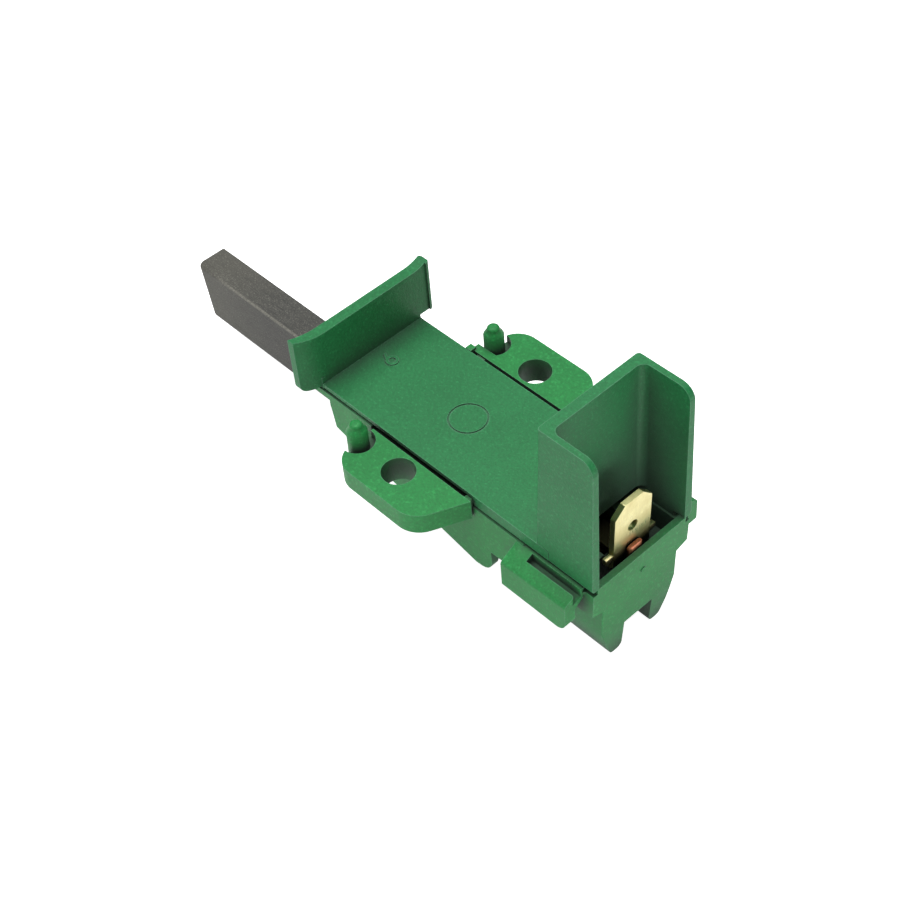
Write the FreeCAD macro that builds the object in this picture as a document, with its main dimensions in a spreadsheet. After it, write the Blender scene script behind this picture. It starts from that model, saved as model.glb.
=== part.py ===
"""Carbon brush in its moulded holder, as it is screwed to a commutator motor.

Millimetres, +Z up. The origin is midway between the two screw holes, on the underside
of the ears. +X points along the brush from its tip to the terminal, and the ears reach
out along +Y and -Y.
"""
import FreeCAD, Part
import math
import os
from types import SimpleNamespace

import Sketcher

Vector = FreeCAD.Vector
SHEET = "Dims"

# Driving sizes in millimetres: alias, value.
SIZES = [
    # screw ears
    ("hole_pitch", 24.1), ("hole_wide", 4.5), ("ear_thick", 3.1), ("ear_reach", 16.5),
    ("ear_front", 7.8), ("ear_rear", 10.2), ("ear_shoulder", 7.0), ("ear_round_front", 3.3),
    ("ear_round_rear", 3.8), ("ear_gap", 0.65), ("root_thick", 1.2), ("root_bridge", 2.2), ("stop_thick", 1.0),
    ("root_lap", 0.4), ("cover_play", 0.05),
    # locating pegs, each in a shallow moat
    ("peg_wide", 2.8), ("peg_base_wide", 2.95), ("peg_base_top", 3.4), ("peg_shoulder", 4.9),
    ("peg_nose", 5.8), ("peg_nose_wide", 1.75), ("peg_tall", 6.3), ("peg_dome", 0.45),
    ("peg_ahead", 7.65), ("moat_wide", 4.5), ("moat_floor", 1.9), ("tongue_out", 1.4),
    ("tongue_wide", 1.3), ("tie_front", 8.0), ("tie_rear", 6.6), ("tie_drop", 0.3),
    ("knob_long", 0.5), ("knob_proud", 0.35), ("boss_wide", 7.2), ("boss_drop", 0.85),
    # stepped deck of the holder
    ("body_half", 8.9), ("body_front", 20.2), ("deck_step", 8.8), ("front_seam", 2.5),
    ("rear_seam", 1.5), ("deck_low", 0.3), ("skirt_thick", 1.2), ("fuse_lap", 0.5),
    # sloping side skirts
    ("skirt_front", 17.2), ("skirt_front_low", 3.2), ("skirt_slope_start", 14.7),
    ("skirt_keel", 9.75), ("skirt_low", 9.2), ("skirt_rear", 12.7), ("skirt_tail", 4.9),
    ("skirt_lean", 0.6), ("skirt_drop", 0.5), ("skirt_heel", 0.3),
    ("skirt_round", 2.2), ("gusset_deep", 2.8), ("gusset_thick", 1.0), ("gusset_pitch", 12.0),
    # rear block
    ("block_front", 17.5), ("block_rear", 29.9), ("block_half", 8.4), ("block_side_top", 0.6),
    ("block_rear_top", 1.5), ("waist_top", 3.5), ("waist_low", 4.1), ("lower_half", 6.6),
    ("lower_low", 8.8), ("block_wall", 1.2), ("rear_wall", 0.9), ("rear_wall_low", 10.1),
    ("rear_draft", 0.55), ("block_web", 0.36), ("rim_inset", 0.7),
    ("pip_side", 0.3), ("pip_low", 1.9), ("pip_wide", 0.8), ("pip_sunk", 0.04),
    # feet
    ("foot_half", 4.4), ("foot_inner", 2.5), ("foot_low", 15.2), ("foot_knee", 12.9),
    ("foot_knee_half", 5.4), ("foot_round", 0.9), ("foot_back", 1.2),
    # side lips
    ("lip_reach", 11.7), ("lip_low", 4.4), ("lip_crest_front", 0.3), ("lip_crest_rise", 0.6),
    ("lip_shoulder", 10.0), ("lip_rear", 28.3), ("lip_wall", 1.7), ("lip_web", 1.8),
    ("lip_edge_round", 0.6), ("lip_top_drop", 0.2), ("groove_front", 20.3), ("groove_in", 8.95),
    ("groove_deep", 1.35), ("lip_round", 1.6),
    # brush
    ("brush_wide", 5.0), ("brush_tall", 9.4), ("brush_long", 46.0), ("brush_tip", 55.1),
    ("brush_mid", 6.0), ("tip_slant", 1.3), ("tip_round", 1.2), ("tip_toe", 1.0), ("edge_round", 0.35),
    ("lead_hole", 1.5), ("lead_deep", 5.0),
    # sleeve and the channel that holds it
    ("brush_gap", 0.1), ("sleeve_wall", 0.4), ("sleeve_front", 18.0), ("sleeve_rear", 24.8),
    ("sleeve_gap", 0.05), ("channel_wall", 1.2), ("seat_front", 25.4), ("seat_thick", 1.1),
    ("seat_top", 0.9), ("seat_hole", 2.2), ("channel_open", 8.0), ("channel_drop", 0.5),
    # cover deck and front flange
    ("cover_half", 8.7), ("cover_top", 3.4), ("cover_rim", 1.0), ("rim_front", 8.9),
    ("flange_rear", 18.4), ("flange_thick", 1.6), ("flange_top", 11.6), ("flange_low", 3.9),
    ("flange_near", 11.35), ("flange_far", 11.1), ("flange_bend", 7.4),
    ("flange_sweep", 1.4), ("flange_front_sweep", 0.85), ("lobe_low", 2.9), ("flange_round", 0.8), 
    ("bead_proud", 0.25), ("horn_start", 8.0), ("horn_rise", 0.9), ("horn_round", 0.45), ("horn_nip", 0.5),
    ("seam_gap", 0.3), ("seam_in", 0.25), ("deck_trim", 0.2), ("press_thick", 1.1),
    ("press_half", 2.4), ("press_pitch", 15.0),
    ("ring_wide", 5.4), ("ring_inner", 4.9), ("ring_deep", 0.15), ("digit_raise", 0.15),
    ("digit_tall", 2.6), ("digit_bowl", 1.8), ("digit_stroke", 0.42), ("digit_ahead", 14.1),
    ("digit_side", 0.45),
    # terminal shroud
    ("shroud_front", 20.6), ("shroud_lean", 0.65), ("shroud_half", 8.32), ("shroud_top", 23.2),
    ("shroud_wall", 0.85), ("shroud_inside", 22.75), ("shroud_round", 1.9), ("shroud_edge", 0.5),
    ("shroud_fill", 1.1), ("shroud_step", 0.05),
    # brass terminal
    ("tab_wide", 6.3), ("tab_thick", 0.8), ("tab_front", 27.2), ("tab_top", 10.15),
    ("tab_lean", 0.45), ("tab_chamfer", 1.6), ("tab_hole", 1.65), ("tab_hole_up", 5.35),
    ("plate_front", 16.6), ("plate_half", 1.5), ("plate_low", 0.5), ("barb_reach", 4.3),
    ("barb_low", 1.2), ("barb_tall", 0.9), ("barb_thick", 0.65), ("barb_lap", 0.3), ("plate_trim_gap", 0.3),
    # spring and braided lead
    ("spring_wide", 4.4), ("spring_wire", 0.55), ("spring_turns", 15.0), ("spring_end_gap", 0.05),
    ("lead_wide", 1.25), ("lead_bend", 1.45), ("lead_riser", 27.6), ("lead_top", 2.3),
    ("weld_thick", 0.75), ("weld_wide", 2.3), ("weld_low", 1.1), ("weld_gap", 0.04),
]


class Size:
    """A length known both as a number and as a formula on the size sheet."""

    def __init__(self, value, text):
        self.value, self.text = float(value), text

    def _joined(self, other, sign, value):
        return Size(value, f"({self.text} {sign} {formula(other)})")

    def __add__(self, other):
        return self._joined(other, "+", self.value + number(other))

    def __sub__(self, other):
        return self._joined(other, "-", self.value - number(other))

    def __mul__(self, other):
        return self._joined(other, "*", self.value * number(other))

    def __truediv__(self, other):
        return self._joined(other, "/", self.value / number(other))

    def __neg__(self):
        return self * -1


def number(length):
    """The plain number of a Size or of a number."""
    return length.value if isinstance(length, Size) else float(length)


def formula(length):
    """The sheet formula of a Size or of a number."""
    return length.text if isinstance(length, Size) else f"{length:g}"


def fill_sheet(doc):
    """Write the driving sizes to the sheet and give them back by name."""
    sheet = doc.addObject("Spreadsheet::Sheet", SHEET)
    for row, (alias, value) in enumerate(SIZES, start=1):
        sheet.set(f"A{row}", alias)
        sheet.set(f"B{row}", f"{value:g}")
        sheet.setAlias(f"B{row}", alias)
    doc.recompute()
    return SimpleNamespace(**{alias: Size(sheet.get(alias), f"{SHEET}.{alias}") for alias, _ in SIZES})


def box(left, right, low, high):
    """The four corners of an upright rectangle."""
    return [(left, low), (right, low), (right, high), (left, high)]


def flipped(corners, horizontal):
    """The same outline on the other side of the middle plane."""
    if horizontal:
        return [(-across, up) for across, up in corners]
    return [(across, -up) for across, up in corners]


def circle(across, up, radius):
    """A round outline."""
    return SimpleNamespace(across=across, up=up, radius=radius)


class Piece:
    """One sub-part: a body made feature by feature, every size bound to the sheet.

    A slab lies between two heights above an origin plane. On "XY" its outline reads (x, y)
    and it grows along Z, on "YZ" (y, z) and along X, and on "XZ" (x, z) and along Y.
    """

    def __init__(self, doc, label):
        self.doc = doc
        self.body = doc.addObject("PartDesign::Body", label)
        self.body.Label = label
        self.body.Placement = FreeCAD.Placement()

    def slab(self, name, plane, low, high, *outlines):
        """Add a slab between the heights low and high."""
        return self._raise("PartDesign::Pad", name, plane, low, high, outlines)

    def cut(self, name, plane, low, high, *outlines):
        """Cut a slab out, and make sure that it takes something away."""
        self.doc.recompute()
        before = self.body.Shape.Volume
        pocket = self._raise("PartDesign::Pocket", name, plane, low, high, outlines)
        pocket.Reversed = True
        self.doc.recompute()
        if self.body.Shape.Volume >= before:
            raise RuntimeError(f"{name} cuts nothing")
        return pocket

    def loft(self, name, plane, *stations):
        """Blend from one outline to the next, each given as (height, outline)."""
        sketches = [self._sketch(f"{name}_{i}", plane, at, [outline])
                    for i, (at, outline) in enumerate(stations)]
        feature = self.body.newObject("PartDesign::AdditiveLoft", name)
        feature.Profile = sketches[0]
        feature.Sections = sketches[1:]
        feature.Ruled = True
        return feature

    def turn(self, name, along, side, half):
        """Add a round part about an upright axis, from its half section as (radius, height)."""
        sketch = self._sketch(f"{name}_sketch", "XZ", -side, [half])
        sketch.setExpression("AttachmentOffset.Base.x", formula(along))
        feature = self.body.newObject("PartDesign::Revolution", name)
        feature.Profile = sketch
        feature.ReferenceAxis = (sketch, ["V_Axis"])
        feature.Angle = 360
        return feature

    def round_edges(self, name, radius, chosen):
        """Round every edge that the test chosen(middle, direction) picks."""
        return self._ease("PartDesign::Fillet", "Radius", name, radius, chosen)

    def bevel_edges(self, name, size, chosen):
        """Bevel every edge that the test chosen(middle, direction) picks."""
        return self._ease("PartDesign::Chamfer", "Size", name, size, chosen)

    def _ease(self, kind, prop, name, size, chosen):
        self.doc.recompute()
        base = self.body.Tip
        names = [f"Edge{i}" for i, edge in enumerate(base.Shape.Edges, start=1)
                 if is_straight(edge) and chosen(*middle_and_run(edge))]
        if not names:
            raise RuntimeError(f"{name} finds no edge")
        feature = self.body.newObject(kind, name)
        feature.Base = (base, names)
        feature.setExpression(prop, formula(size))
        return feature

    def _raise(self, kind, name, plane, low, high, outlines):
        start = -high if plane == "XZ" else low
        sketch = self._sketch(f"{name}_sketch", plane, start, outlines)
        feature = self.body.newObject(kind, name)
        feature.Profile = sketch
        feature.setExpression("Length", formula(high - low))
        return feature

    def _sketch(self, name, plane, offset, outlines):
        sketch = self.body.newObject("Sketcher::SketchObject", name)
        origin_plane = next(f for f in self.body.Origin.OriginFeatures if f.Role == f"{plane}_Plane")
        sketch.AttachmentSupport = [(origin_plane, "")]
        sketch.MapMode = "FlatFace"
        sketch.setExpression("AttachmentOffset.Base.z", formula(offset))
        for outline in outlines:
            if isinstance(outline, SimpleNamespace):
                self._draw_circle(sketch, outline)
            else:
                self._draw_outline(sketch, outline)
        return sketch

    def _draw_outline(self, sketch, corners):
        """Draw a closed outline with straight sides and tie each corner to its size."""
        flat = [Vector(number(across), number(up), 0) for across, up in corners]
        sides = [sketch.addGeometry(Part.LineSegment(start, end), False)
                 for start, end in zip(flat, flat[1:] + flat[:1])]
        for i, side in enumerate(sides):
            sketch.addConstraint(Sketcher.Constraint("Coincident", sides[i - 1], 2, side, 1))
            tie(sketch, side, 1, corners[i])

    def _draw_circle(self, sketch, ring):
        centre = Vector(number(ring.across), number(ring.up), 0)
        index = sketch.addGeometry(Part.Circle(centre, Vector(0, 0, 1), number(ring.radius)), False)
        hold(sketch, Sketcher.Constraint("Radius", index, number(ring.radius)), ring.radius)
        tie(sketch, index, 3, (ring.across, ring.up))


def hold(sketch, constraint, length):
    """Add a constraint whose value follows the sheet."""
    index = sketch.addConstraint(constraint)
    sketch.setExpression(f"Constraints[{index}]", formula(length))


def tie(sketch, geometry, point, place):
    """Hold a point of a sketch at its place from the origin."""
    for kind, axis, length in (("DistanceX", -2, place[0]), ("DistanceY", -1, place[1])):
        if isinstance(length, Size):
            hold(sketch, Sketcher.Constraint(kind, -1, 1, geometry, point, length.value), length)
        else:
            sketch.addConstraint(Sketcher.Constraint("PointOnObject", geometry, point, axis))


def is_straight(edge):
    """Whether an edge is one straight stretch."""
    if edge.Closed:
        return False
    span = edge.firstVertex().Point.distanceToPoint(edge.lastVertex().Point)
    return abs(edge.Length - span) < 1e-6


def middle_and_run(edge):
    """The middle of an edge and its unit direction."""
    ends = edge.firstVertex().Point, edge.lastVertex().Point
    return (ends[0] + ends[1]) / 2, (ends[1] - ends[0]).normalize()


def near(value, length):
    """Whether a coordinate is at the given place."""
    return abs(value - number(length)) < 1e-3


def make_holder(doc, d):
    """The lower moulding: ears, pegs, skirts, lips, rear block with feet, and the channel."""
    piece = Piece(doc, "holder_base")
    add_rear_block(piece, d)
    add_deck(piece, d)
    add_skirts(piece, d)
    add_lips(piece, d)
    add_channel(piece, d)
    add_ears(piece, d)
    return piece.body


def add_rear_block(piece, d):
    """A box with a waist that narrows to two feet, hollow, and closed by a leaning rear wall."""
    half = [(d.foot_inner, -d.rear_wall_low), (d.foot_inner, -d.foot_low),
            (d.foot_half, -d.foot_low), (d.foot_knee_half, -d.foot_knee),
            (d.lower_half, -d.lower_low), (d.lower_half, -d.waist_low),
            (d.block_half, -d.waist_top), (d.block_half, d.block_side_top)]
    piece.slab("block", "YZ", d.block_front, d.block_rear, half + flipped(half, True)[::-1])
    wall, back = d.block_wall, d.block_rear
    ceiling = d.block_web
    inside = [(d.channel_half, -d.channel_floor), (d.lower_half - wall, -d.lower_low + ceiling),
              (d.lower_half - wall, -d.waist_low + ceiling),
              (d.block_half - wall, -d.waist_top + ceiling), (d.block_half - wall, d.front_seam)]
    piece.cut("block_inside", "YZ", d.block_front - wall, back - d.rear_wall,
              inside + flipped(inside, True)[::-1])
    rim, inner_face = d.block_half - d.rim_inset, back - d.rear_wall
    piece.slab("rear_rim", "YZ", inner_face, back, box(-rim, rim, 0, d.block_rear_top))
    over = [(back + wall, d.block_rear_top + wall), (back, d.block_rear_top),
            (back - d.rear_draft, -d.rear_wall_low), (back - d.foot_back, -d.foot_low - wall),
            (back + wall, -d.foot_low - wall)]
    piece.cut("rear_face_draft", "XZ", -d.lip_reach, d.lip_reach, over)
    piece.slab("rear_pip", "YZ", inner_face, back - d.pip_sunk, circle(d.pip_side, -d.pip_low, d.pip_wide / 2))
    piece.round_edges("foot_edges", d.foot_round, lambda at, run: (
        abs(run.x) > 0.9 and near(at.z, -d.foot_low)))


def add_deck(piece, d):
    """The stepped deck under the cover, open above the channel."""
    profile = [(-d.body_front, d.front_seam), (-d.deck_step, d.front_seam),
               (-d.deck_step, d.rear_seam), (d.block_front + d.block_wall, d.rear_seam),
               (d.block_front + d.block_wall, d.deck_low), (-d.skirt_front, d.deck_low),
               (-d.skirt_front, d.rear_seam), (-d.body_front, d.rear_seam)]
    piece.slab("deck", "XZ", -d.body_half, d.body_half, profile)
    piece.cut("deck_window", "XY", d.deck_low - 1, d.front_seam + 1,
              box(-d.channel_open, d.block_front + d.block_wall * 2, -d.channel_inner, d.channel_inner))


def add_skirts(piece, d):
    """A thin skirt down each side, deepest ahead of the rear block, stiffened by gussets."""
    top, back = d.deck_low + d.fuse_lap, d.block_front + d.block_wall
    outline = [(-d.skirt_front, top), (-d.skirt_front + d.skirt_lean, -d.skirt_front_low),
               (-d.skirt_slope_start, -d.skirt_front_low - d.skirt_drop), (d.skirt_keel, -d.skirt_low),
               (d.skirt_rear, -d.skirt_low + d.skirt_heel), (d.skirt_rear, -d.skirt_tail),
               (back, -d.skirt_tail), (back, top)]
    inner = d.body_half - d.skirt_thick
    for side, (low, high) in {"near": (-d.body_half, -inner), "far": (inner, d.body_half)}.items():
        piece.slab(f"skirt_{side}", "XZ", low, high, outline)
    piece.round_edges("skirt_keel_round", d.skirt_round, lambda at, run: (
        abs(run.y) > 0.9 and near(at.x, d.skirt_rear) and at.z < number(-d.skirt_tail) - 1))
    for index, place in enumerate((-d.gusset_pitch / 2, d.gusset_pitch / 2), start=1):
        rib = box(d.channel_half - d.skirt_heel, inner + d.skirt_heel, -d.gusset_deep, top)
        piece.slab(f"gusset_{index}", "YZ", place, place + d.gusset_thick, rib, flipped(rib, True))


def add_lips(piece, d):
    """A hooked lip along each side of the block, with a groove on top that opens to the rear."""
    def section(crest):
        root, wall = d.block_half - d.block_wall / 2, d.lip_reach - d.lip_wall
        top = d.rear_seam - d.lip_top_drop
        return [(d.block_half, top), (d.block_half, d.block_side_top), (root, d.block_side_top),
                (root, top - d.lip_web), (wall, crest - d.lip_web), (wall, -d.lip_low),
                (d.lip_reach, -d.lip_low), (d.lip_reach, crest), (d.body_half, top)]
    for side, turn in (("near", True), ("far", False)):
        front, rear = section(-d.lip_crest_front), section(-d.lip_crest_front + d.lip_crest_rise)
        if turn:
            front, rear = flipped(front, True), flipped(rear, True)
        piece.loft(f"lip_{side}", "YZ", (d.block_front, front), (d.lip_rear, rear))
    groove = box(d.groove_in, d.lip_shoulder, d.rear_seam - d.lip_top_drop - d.groove_deep,
                 d.rear_seam + 1)
    piece.cut("lip_grooves", "YZ", d.groove_front, d.block_rear, groove, flipped(groove, True))
    piece.round_edges("lip_tail_round", d.lip_round, lambda at, run: (
        abs(run.y) > 0.9 and near(at.x, d.lip_rear) and near(at.z, -d.lip_low)))
    piece.round_edges("lip_crest_round", d.lip_edge_round, lambda at, run: (
        abs(run.x) > 0.9 and near(abs(at.y), d.lip_reach) and at.z > number(-d.lip_low) + 1))


def add_channel(piece, d):
    """The U-shaped channel around the sleeve, with a wall behind it that the spring sits on."""
    inner, outer, floor = d.channel_inner, d.channel_half, -d.channel_floor
    base = floor - d.channel_wall
    top = d.rear_seam - d.channel_drop
    profile = [(-outer, top), (-outer, base), (outer, base), (outer, top),
               (inner, top), (inner, floor), (-inner, floor), (-inner, top)]
    piece.slab("channel", "YZ", -d.skirt_front, d.seat_front + d.seat_thick, profile)
    piece.slab("spring_seat", "YZ", d.seat_front, d.seat_front + d.seat_thick,
               box(-outer, outer, base, -d.seat_top))
    piece.cut("lead_passage", "YZ", d.seat_front - 1, d.seat_front + d.seat_thick + 1,
              circle(0, -d.brush_mid, d.seat_hole / 2))


def add_ears(piece, d):
    """The two screw ears, each with a peg standing in a moat at its front."""
    edge = d.cover_half + d.ear_gap
    ear = [(-d.ear_front, edge), (d.ear_rear, edge), (d.ear_shoulder, d.ear_reach),
           (-d.ear_front, d.ear_reach)]
    inner, end = d.body_half - d.skirt_thick, d.ear_rear - d.root_lap
    root = box(-d.ear_front, end, inner, edge + d.root_lap)
    bridge = box(end - d.root_bridge, end, inner, edge + d.root_lap)
    stop = box(end - d.stop_thick, end, d.cover_half + d.cover_play, edge + d.root_lap)
    piece.slab("ear_roots", "XY", 0, d.root_thick, root, flipped(root, False))
    piece.slab("ears", "XY", 0, d.ear_thick, ear, flipped(ear, False))
    piece.slab("ear_bridges", "XY", d.root_thick / 2, d.rear_seam, bridge, flipped(bridge, False))
    piece.slab("gap_stops", "XY", 0, d.ear_thick - d.tie_drop, stop, flipped(stop, False))
    for end, radius in (("front", d.ear_round_front), ("rear", d.ear_round_rear)):
        place = -d.ear_front if end == "front" else d.ear_shoulder
        piece.round_edges(f"ear_{end}_round", radius, lambda at, run, place=place: (
            abs(run.z) > 0.9 and near(at.x, place) and near(abs(at.y), d.ear_reach)))
    tongue = box(-d.ear_front - d.tongue_out, -d.ear_front + d.moat_wide / 2, edge, edge + d.tongue_wide)
    sides = (-d.hole_pitch / 2, d.hole_pitch / 2)
    moats = [circle(-d.peg_ahead, side, d.moat_wide / 2) for side in sides]
    piece.cut("moats", "XY", d.moat_floor, d.ear_thick + 1, *moats)
    piece.slab("tongue_near", "XY", 0, d.moat_floor, flipped(tongue, False))
    piece.slab("tongue_far", "XY", 0, d.ear_thick, tongue)
    beside = d.cover_half + d.cover_play
    piece.slab("tongue_tie", "XY", 0, d.ear_thick - d.tie_drop,
               box(-d.tie_front, -d.tie_rear, beside, edge + d.root_lap))
    tip = -d.ear_front - d.tongue_out
    piece.slab("tongue_knob", "XY", 0, d.ear_thick + d.knob_proud,
               box(tip - d.knob_long, tip + d.knob_long, beside, edge + d.root_lap))
    for name, side in zip(("peg_near", "peg_far"), sides):
        add_peg(piece, d, name, side)
    bosses = [circle(0, side, d.boss_wide / 2) for side in sides]
    piece.slab("bosses", "XY", -d.boss_drop, d.root_thick, *bosses)
    holes = [circle(0, side, d.hole_wide / 2) for side in sides]
    piece.cut("screw_holes", "XY", -d.boss_drop - 1, d.ear_thick + 1, *holes)


def add_peg(piece, d, name, side):
    """One locating peg, turned: a slightly drafted foot, a straight part, and a pointed nose."""
    radius, nose = d.peg_wide / 2, d.peg_nose_wide / 2
    half = [(0, 0), (d.peg_base_wide / 2, 0), (radius, d.peg_base_top), (radius, d.peg_shoulder),
            (nose, d.peg_nose), (nose, d.peg_tall), (0, d.peg_tall)]
    piece.turn(name, -d.peg_ahead, side, half)
    piece.doc.recompute()
    tip = piece.body.Tip
    rims = [f"Edge{i}" for i, edge in enumerate(tip.Shape.Edges, start=1)
            if edge.Closed and near(edge.BoundBox.ZMin, d.peg_tall) and near(edge.BoundBox.Center.y, side)]
    dome = piece.body.newObject("PartDesign::Fillet", f"{name}_dome")
    dome.Base = (tip, rims)
    dome.setExpression("Radius", formula(d.peg_dome))


def make_cover(doc, d):
    """The upper moulding: deck, front flange, terminal shroud, and ribs that hold the brass down."""
    piece = Piece(doc, "terminal_cover")
    add_cover_deck(piece, d)
    add_flange(piece, d)
    add_shroud(piece, d)
    add_seam(piece, d)
    add_press_ribs(piece, d)
    add_marks(piece, d)
    return piece.body


def add_cover_deck(piece, d):
    """A thin deck with a deeper rim at the rear, where the holder's seam lies lower."""
    inside = d.shroud_inside
    piece.slab("deck", "XY", d.front_seam, d.cover_top,
               box(-d.body_front + d.deck_trim, inside, -d.cover_half, d.cover_half))
    rim = box(d.rim_front, inside, d.cover_half - d.cover_rim, d.cover_half)
    piece.slab("rims", "XY", d.rear_seam, d.cover_top, rim, flipped(rim, False))


def add_flange(piece, d):
    """An upright wall across the front, swept forward at its near end and beaded at its far end."""
    rear, front = -d.flange_rear, -d.flange_rear - d.flange_thick
    bow, reach = (0.25, 0.5, 0.75, 1), d.flange_near - d.flange_bend
    swept = ([(rear, -d.flange_bend)]
             + [(rear - d.flange_sweep * share ** 2, -d.flange_bend - reach * share) for share in bow]
             + [(front - d.flange_front_sweep * share ** 2, -d.flange_bend - reach * share)
                for share in bow[::-1]]
             + [(front, -d.flange_bend)])
    rise, run = d.horn_rise, d.flange_far - d.horn_start
    flare = [(d.horn_start + run * share, d.flange_top + rise * share ** 2) for share in (0, *bow)]
    bead_in = flare[-2][0]
    straight = [(front, d.flange_far), (rear + d.bead_proud, d.flange_far),
                (rear + d.bead_proud, bead_in), (rear, bead_in)]
    piece.slab("flange", "XY", d.flange_low, d.flange_top, swept + straight)
    piece.slab("flange_lobe", "XY", d.lobe_low, d.flange_low + d.fuse_lap, swept)
    piece.slab("flange_foot", "XY", d.front_seam, d.flange_low + d.fuse_lap,
               box(front, rear, -d.cover_half, d.cover_half))
    horn = [(d.horn_start, d.flange_top - 1), *flare, (d.flange_far, d.flange_top - 1)]
    piece.slab("flange_horn", "YZ", front, rear, horn)
    bead = [(bead_in, d.flange_top - 1), *flare[-2:], (d.flange_far, d.flange_top - 1)]
    piece.slab("flange_bead", "YZ", rear - d.bead_proud, rear + d.bead_proud, bead)
    piece.round_edges("horn_round", d.horn_round, lambda at, run: (
        abs(run.x) > 0.9 and near(at.z, d.flange_top + rise) and near(at.y, d.flange_far)))
    nip, far, back = d.horn_nip, d.flange_far, rear + d.bead_proud
    front_nip = [(front - nip, far - nip * 2), (front + nip * 2, far + nip), (front - nip, far + nip)]
    rear_nip = [(back + nip, far - nip * 2), (back - nip * 2, far + nip), (back + nip, far + nip)]
    piece.cut("horn_corners", "XY", d.flange_low - 1, d.flange_top + rise + 1, front_nip, rear_nip)
    piece.round_edges("flange_corner", d.flange_round, lambda at, run: (
        abs(run.x) > 0.5 and near(at.z, d.lobe_low) and near(at.y, -d.flange_near)))


def add_shroud(piece, d):
    """Three tall walls round the terminal, drafted a little, open to the rear and above."""
    back, half, inside = d.block_rear, d.shroud_half, d.shroud_inside
    inner, outer, join = half - d.shroud_wall, d.cover_half - d.shroud_step, inside - d.fuse_lap
    foot = box(join, back, inner, outer)
    piece.slab("shroud_feet", "XY", d.block_rear_top, d.cover_top, foot, flipped(foot, False))
    skirt = box(join, back - d.rear_wall * 2, inner, half)
    piece.slab("shroud_skirts", "XY", d.block_side_top, d.cover_top, skirt, flipped(skirt, False))
    piece.loft("shroud_front_wall", "XY",
               (d.cover_top, box(d.shroud_front, inside, -outer, outer)),
               (d.shroud_top, box(d.shroud_front + d.shroud_lean, inside, -half, half)))
    low, high = box(join, back, inner, outer), box(join, back, inner, half)
    piece.loft("shroud_far", "XY", (d.cover_top, low), (d.shroud_top, high))
    piece.loft("shroud_near", "XY", (d.cover_top, flipped(low, False)), (d.shroud_top, flipped(high, False)))
    piece.round_edges("shroud_corners", d.shroud_round, lambda at, run: (
        abs(run.y) > 0.9 and near(at.x, back) and near(at.z, d.shroud_top)))
    piece.round_edges("shroud_front_edges", d.shroud_edge, lambda at, run: (
        abs(run.z) > 0.9 and abs(at.y) > number(half) and at.z > number(d.cover_top) + 5
        and at.x < number(d.shroud_front + d.shroud_lean)))
    piece.round_edges("shroud_inner_corners", d.shroud_fill, lambda at, run: (
        abs(run.z) > 0.9 and near(at.x, inside) and near(abs(at.y), inner)))


def add_seam(piece, d):
    """A narrow rabbet along the lower edge, which shows as the dark line between the mouldings."""
    front, back, gap = -d.flange_rear, d.block_rear + 1, d.seam_gap
    step = d.rim_front + gap
    band = [(front, d.front_seam), (d.rim_front, d.front_seam), (d.rim_front, d.rear_seam),
            (back, d.rear_seam), (back, d.rear_seam + gap), (step, d.rear_seam + gap),
            (step, d.front_seam + gap), (front, d.front_seam + gap)]
    for side, (low, high) in {"near": (-d.cover_half - 1, -d.cover_half + d.seam_in),
                              "far": (d.cover_half - d.seam_in, d.cover_half + 1)}.items():
        piece.cut(f"seam_{side}", "XZ", low, high, band)


def add_press_ribs(piece, d):
    """Ribs under the deck: two reach down to the sleeve and one to the terminal's plate."""
    sleeve_top = -d.brush_mid + d.brush_tall / 2 + d.brush_gap + d.sleeve_wall
    for index, place in enumerate((-d.press_pitch / 2, d.press_pitch / 2), start=1):
        piece.slab(f"press_rib_{index}", "YZ", place, place + d.press_thick,
                   box(-d.press_half, d.press_half, sleeve_top, d.front_seam + d.fuse_lap))
    plate_top = d.tab_thick - d.plate_low
    rib = d.block_front + d.block_wall
    piece.slab("terminal_rib", "YZ", rib, rib + d.press_thick,
               box(-d.press_half, d.press_half, plate_top, d.front_seam + d.fuse_lap))


def add_marks(piece, d):
    """A shallow round gate mark and one small raised digit on the deck."""
    piece.cut("gate_mark", "XY", d.cover_top - d.ring_deep, d.cover_top + 1,
              circle(0, 0, d.ring_wide / 2), circle(0, 0, d.ring_inner / 2))
    stroke, bowl = d.digit_stroke, d.digit_bowl / 2
    middle = -d.digit_ahead - bowl
    head = -d.digit_ahead - d.digit_tall
    sunk, proud = d.cover_top - d.ring_deep, d.cover_top + d.digit_raise
    piece.slab("digit_bowl", "XY", sunk, proud,
               circle(middle, d.digit_side, bowl), circle(middle, d.digit_side, bowl - stroke))
    side = d.digit_side - bowl
    stem = [(middle, side), (middle, side + stroke), (head, side + bowl + stroke), (head, side + bowl)]
    piece.slab("digit_stem", "XY", sunk, proud, stem)


def make_sleeve(doc, d):
    """The folded brass tube that guides the brush."""
    piece = Piece(doc, "brass_sleeve")
    bore_half, bore_tall = d.brush_wide / 2 + d.brush_gap, d.brush_tall / 2 + d.brush_gap
    wall = d.sleeve_wall
    inner = box(-bore_half, bore_half, -d.brush_mid - bore_tall, -d.brush_mid + bore_tall)
    outer = box(-bore_half - wall, bore_half + wall, -d.brush_mid - bore_tall - wall,
                -d.brush_mid + bore_tall + wall)
    piece.slab("tube", "YZ", -d.sleeve_front, d.sleeve_rear, outer, inner)
    piece.round_edges("folded_edges", wall * 0.9, lambda at, run: (
        abs(run.x) > 0.9 and near(abs(at.y), bore_half + wall)))
    return piece.body


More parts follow.
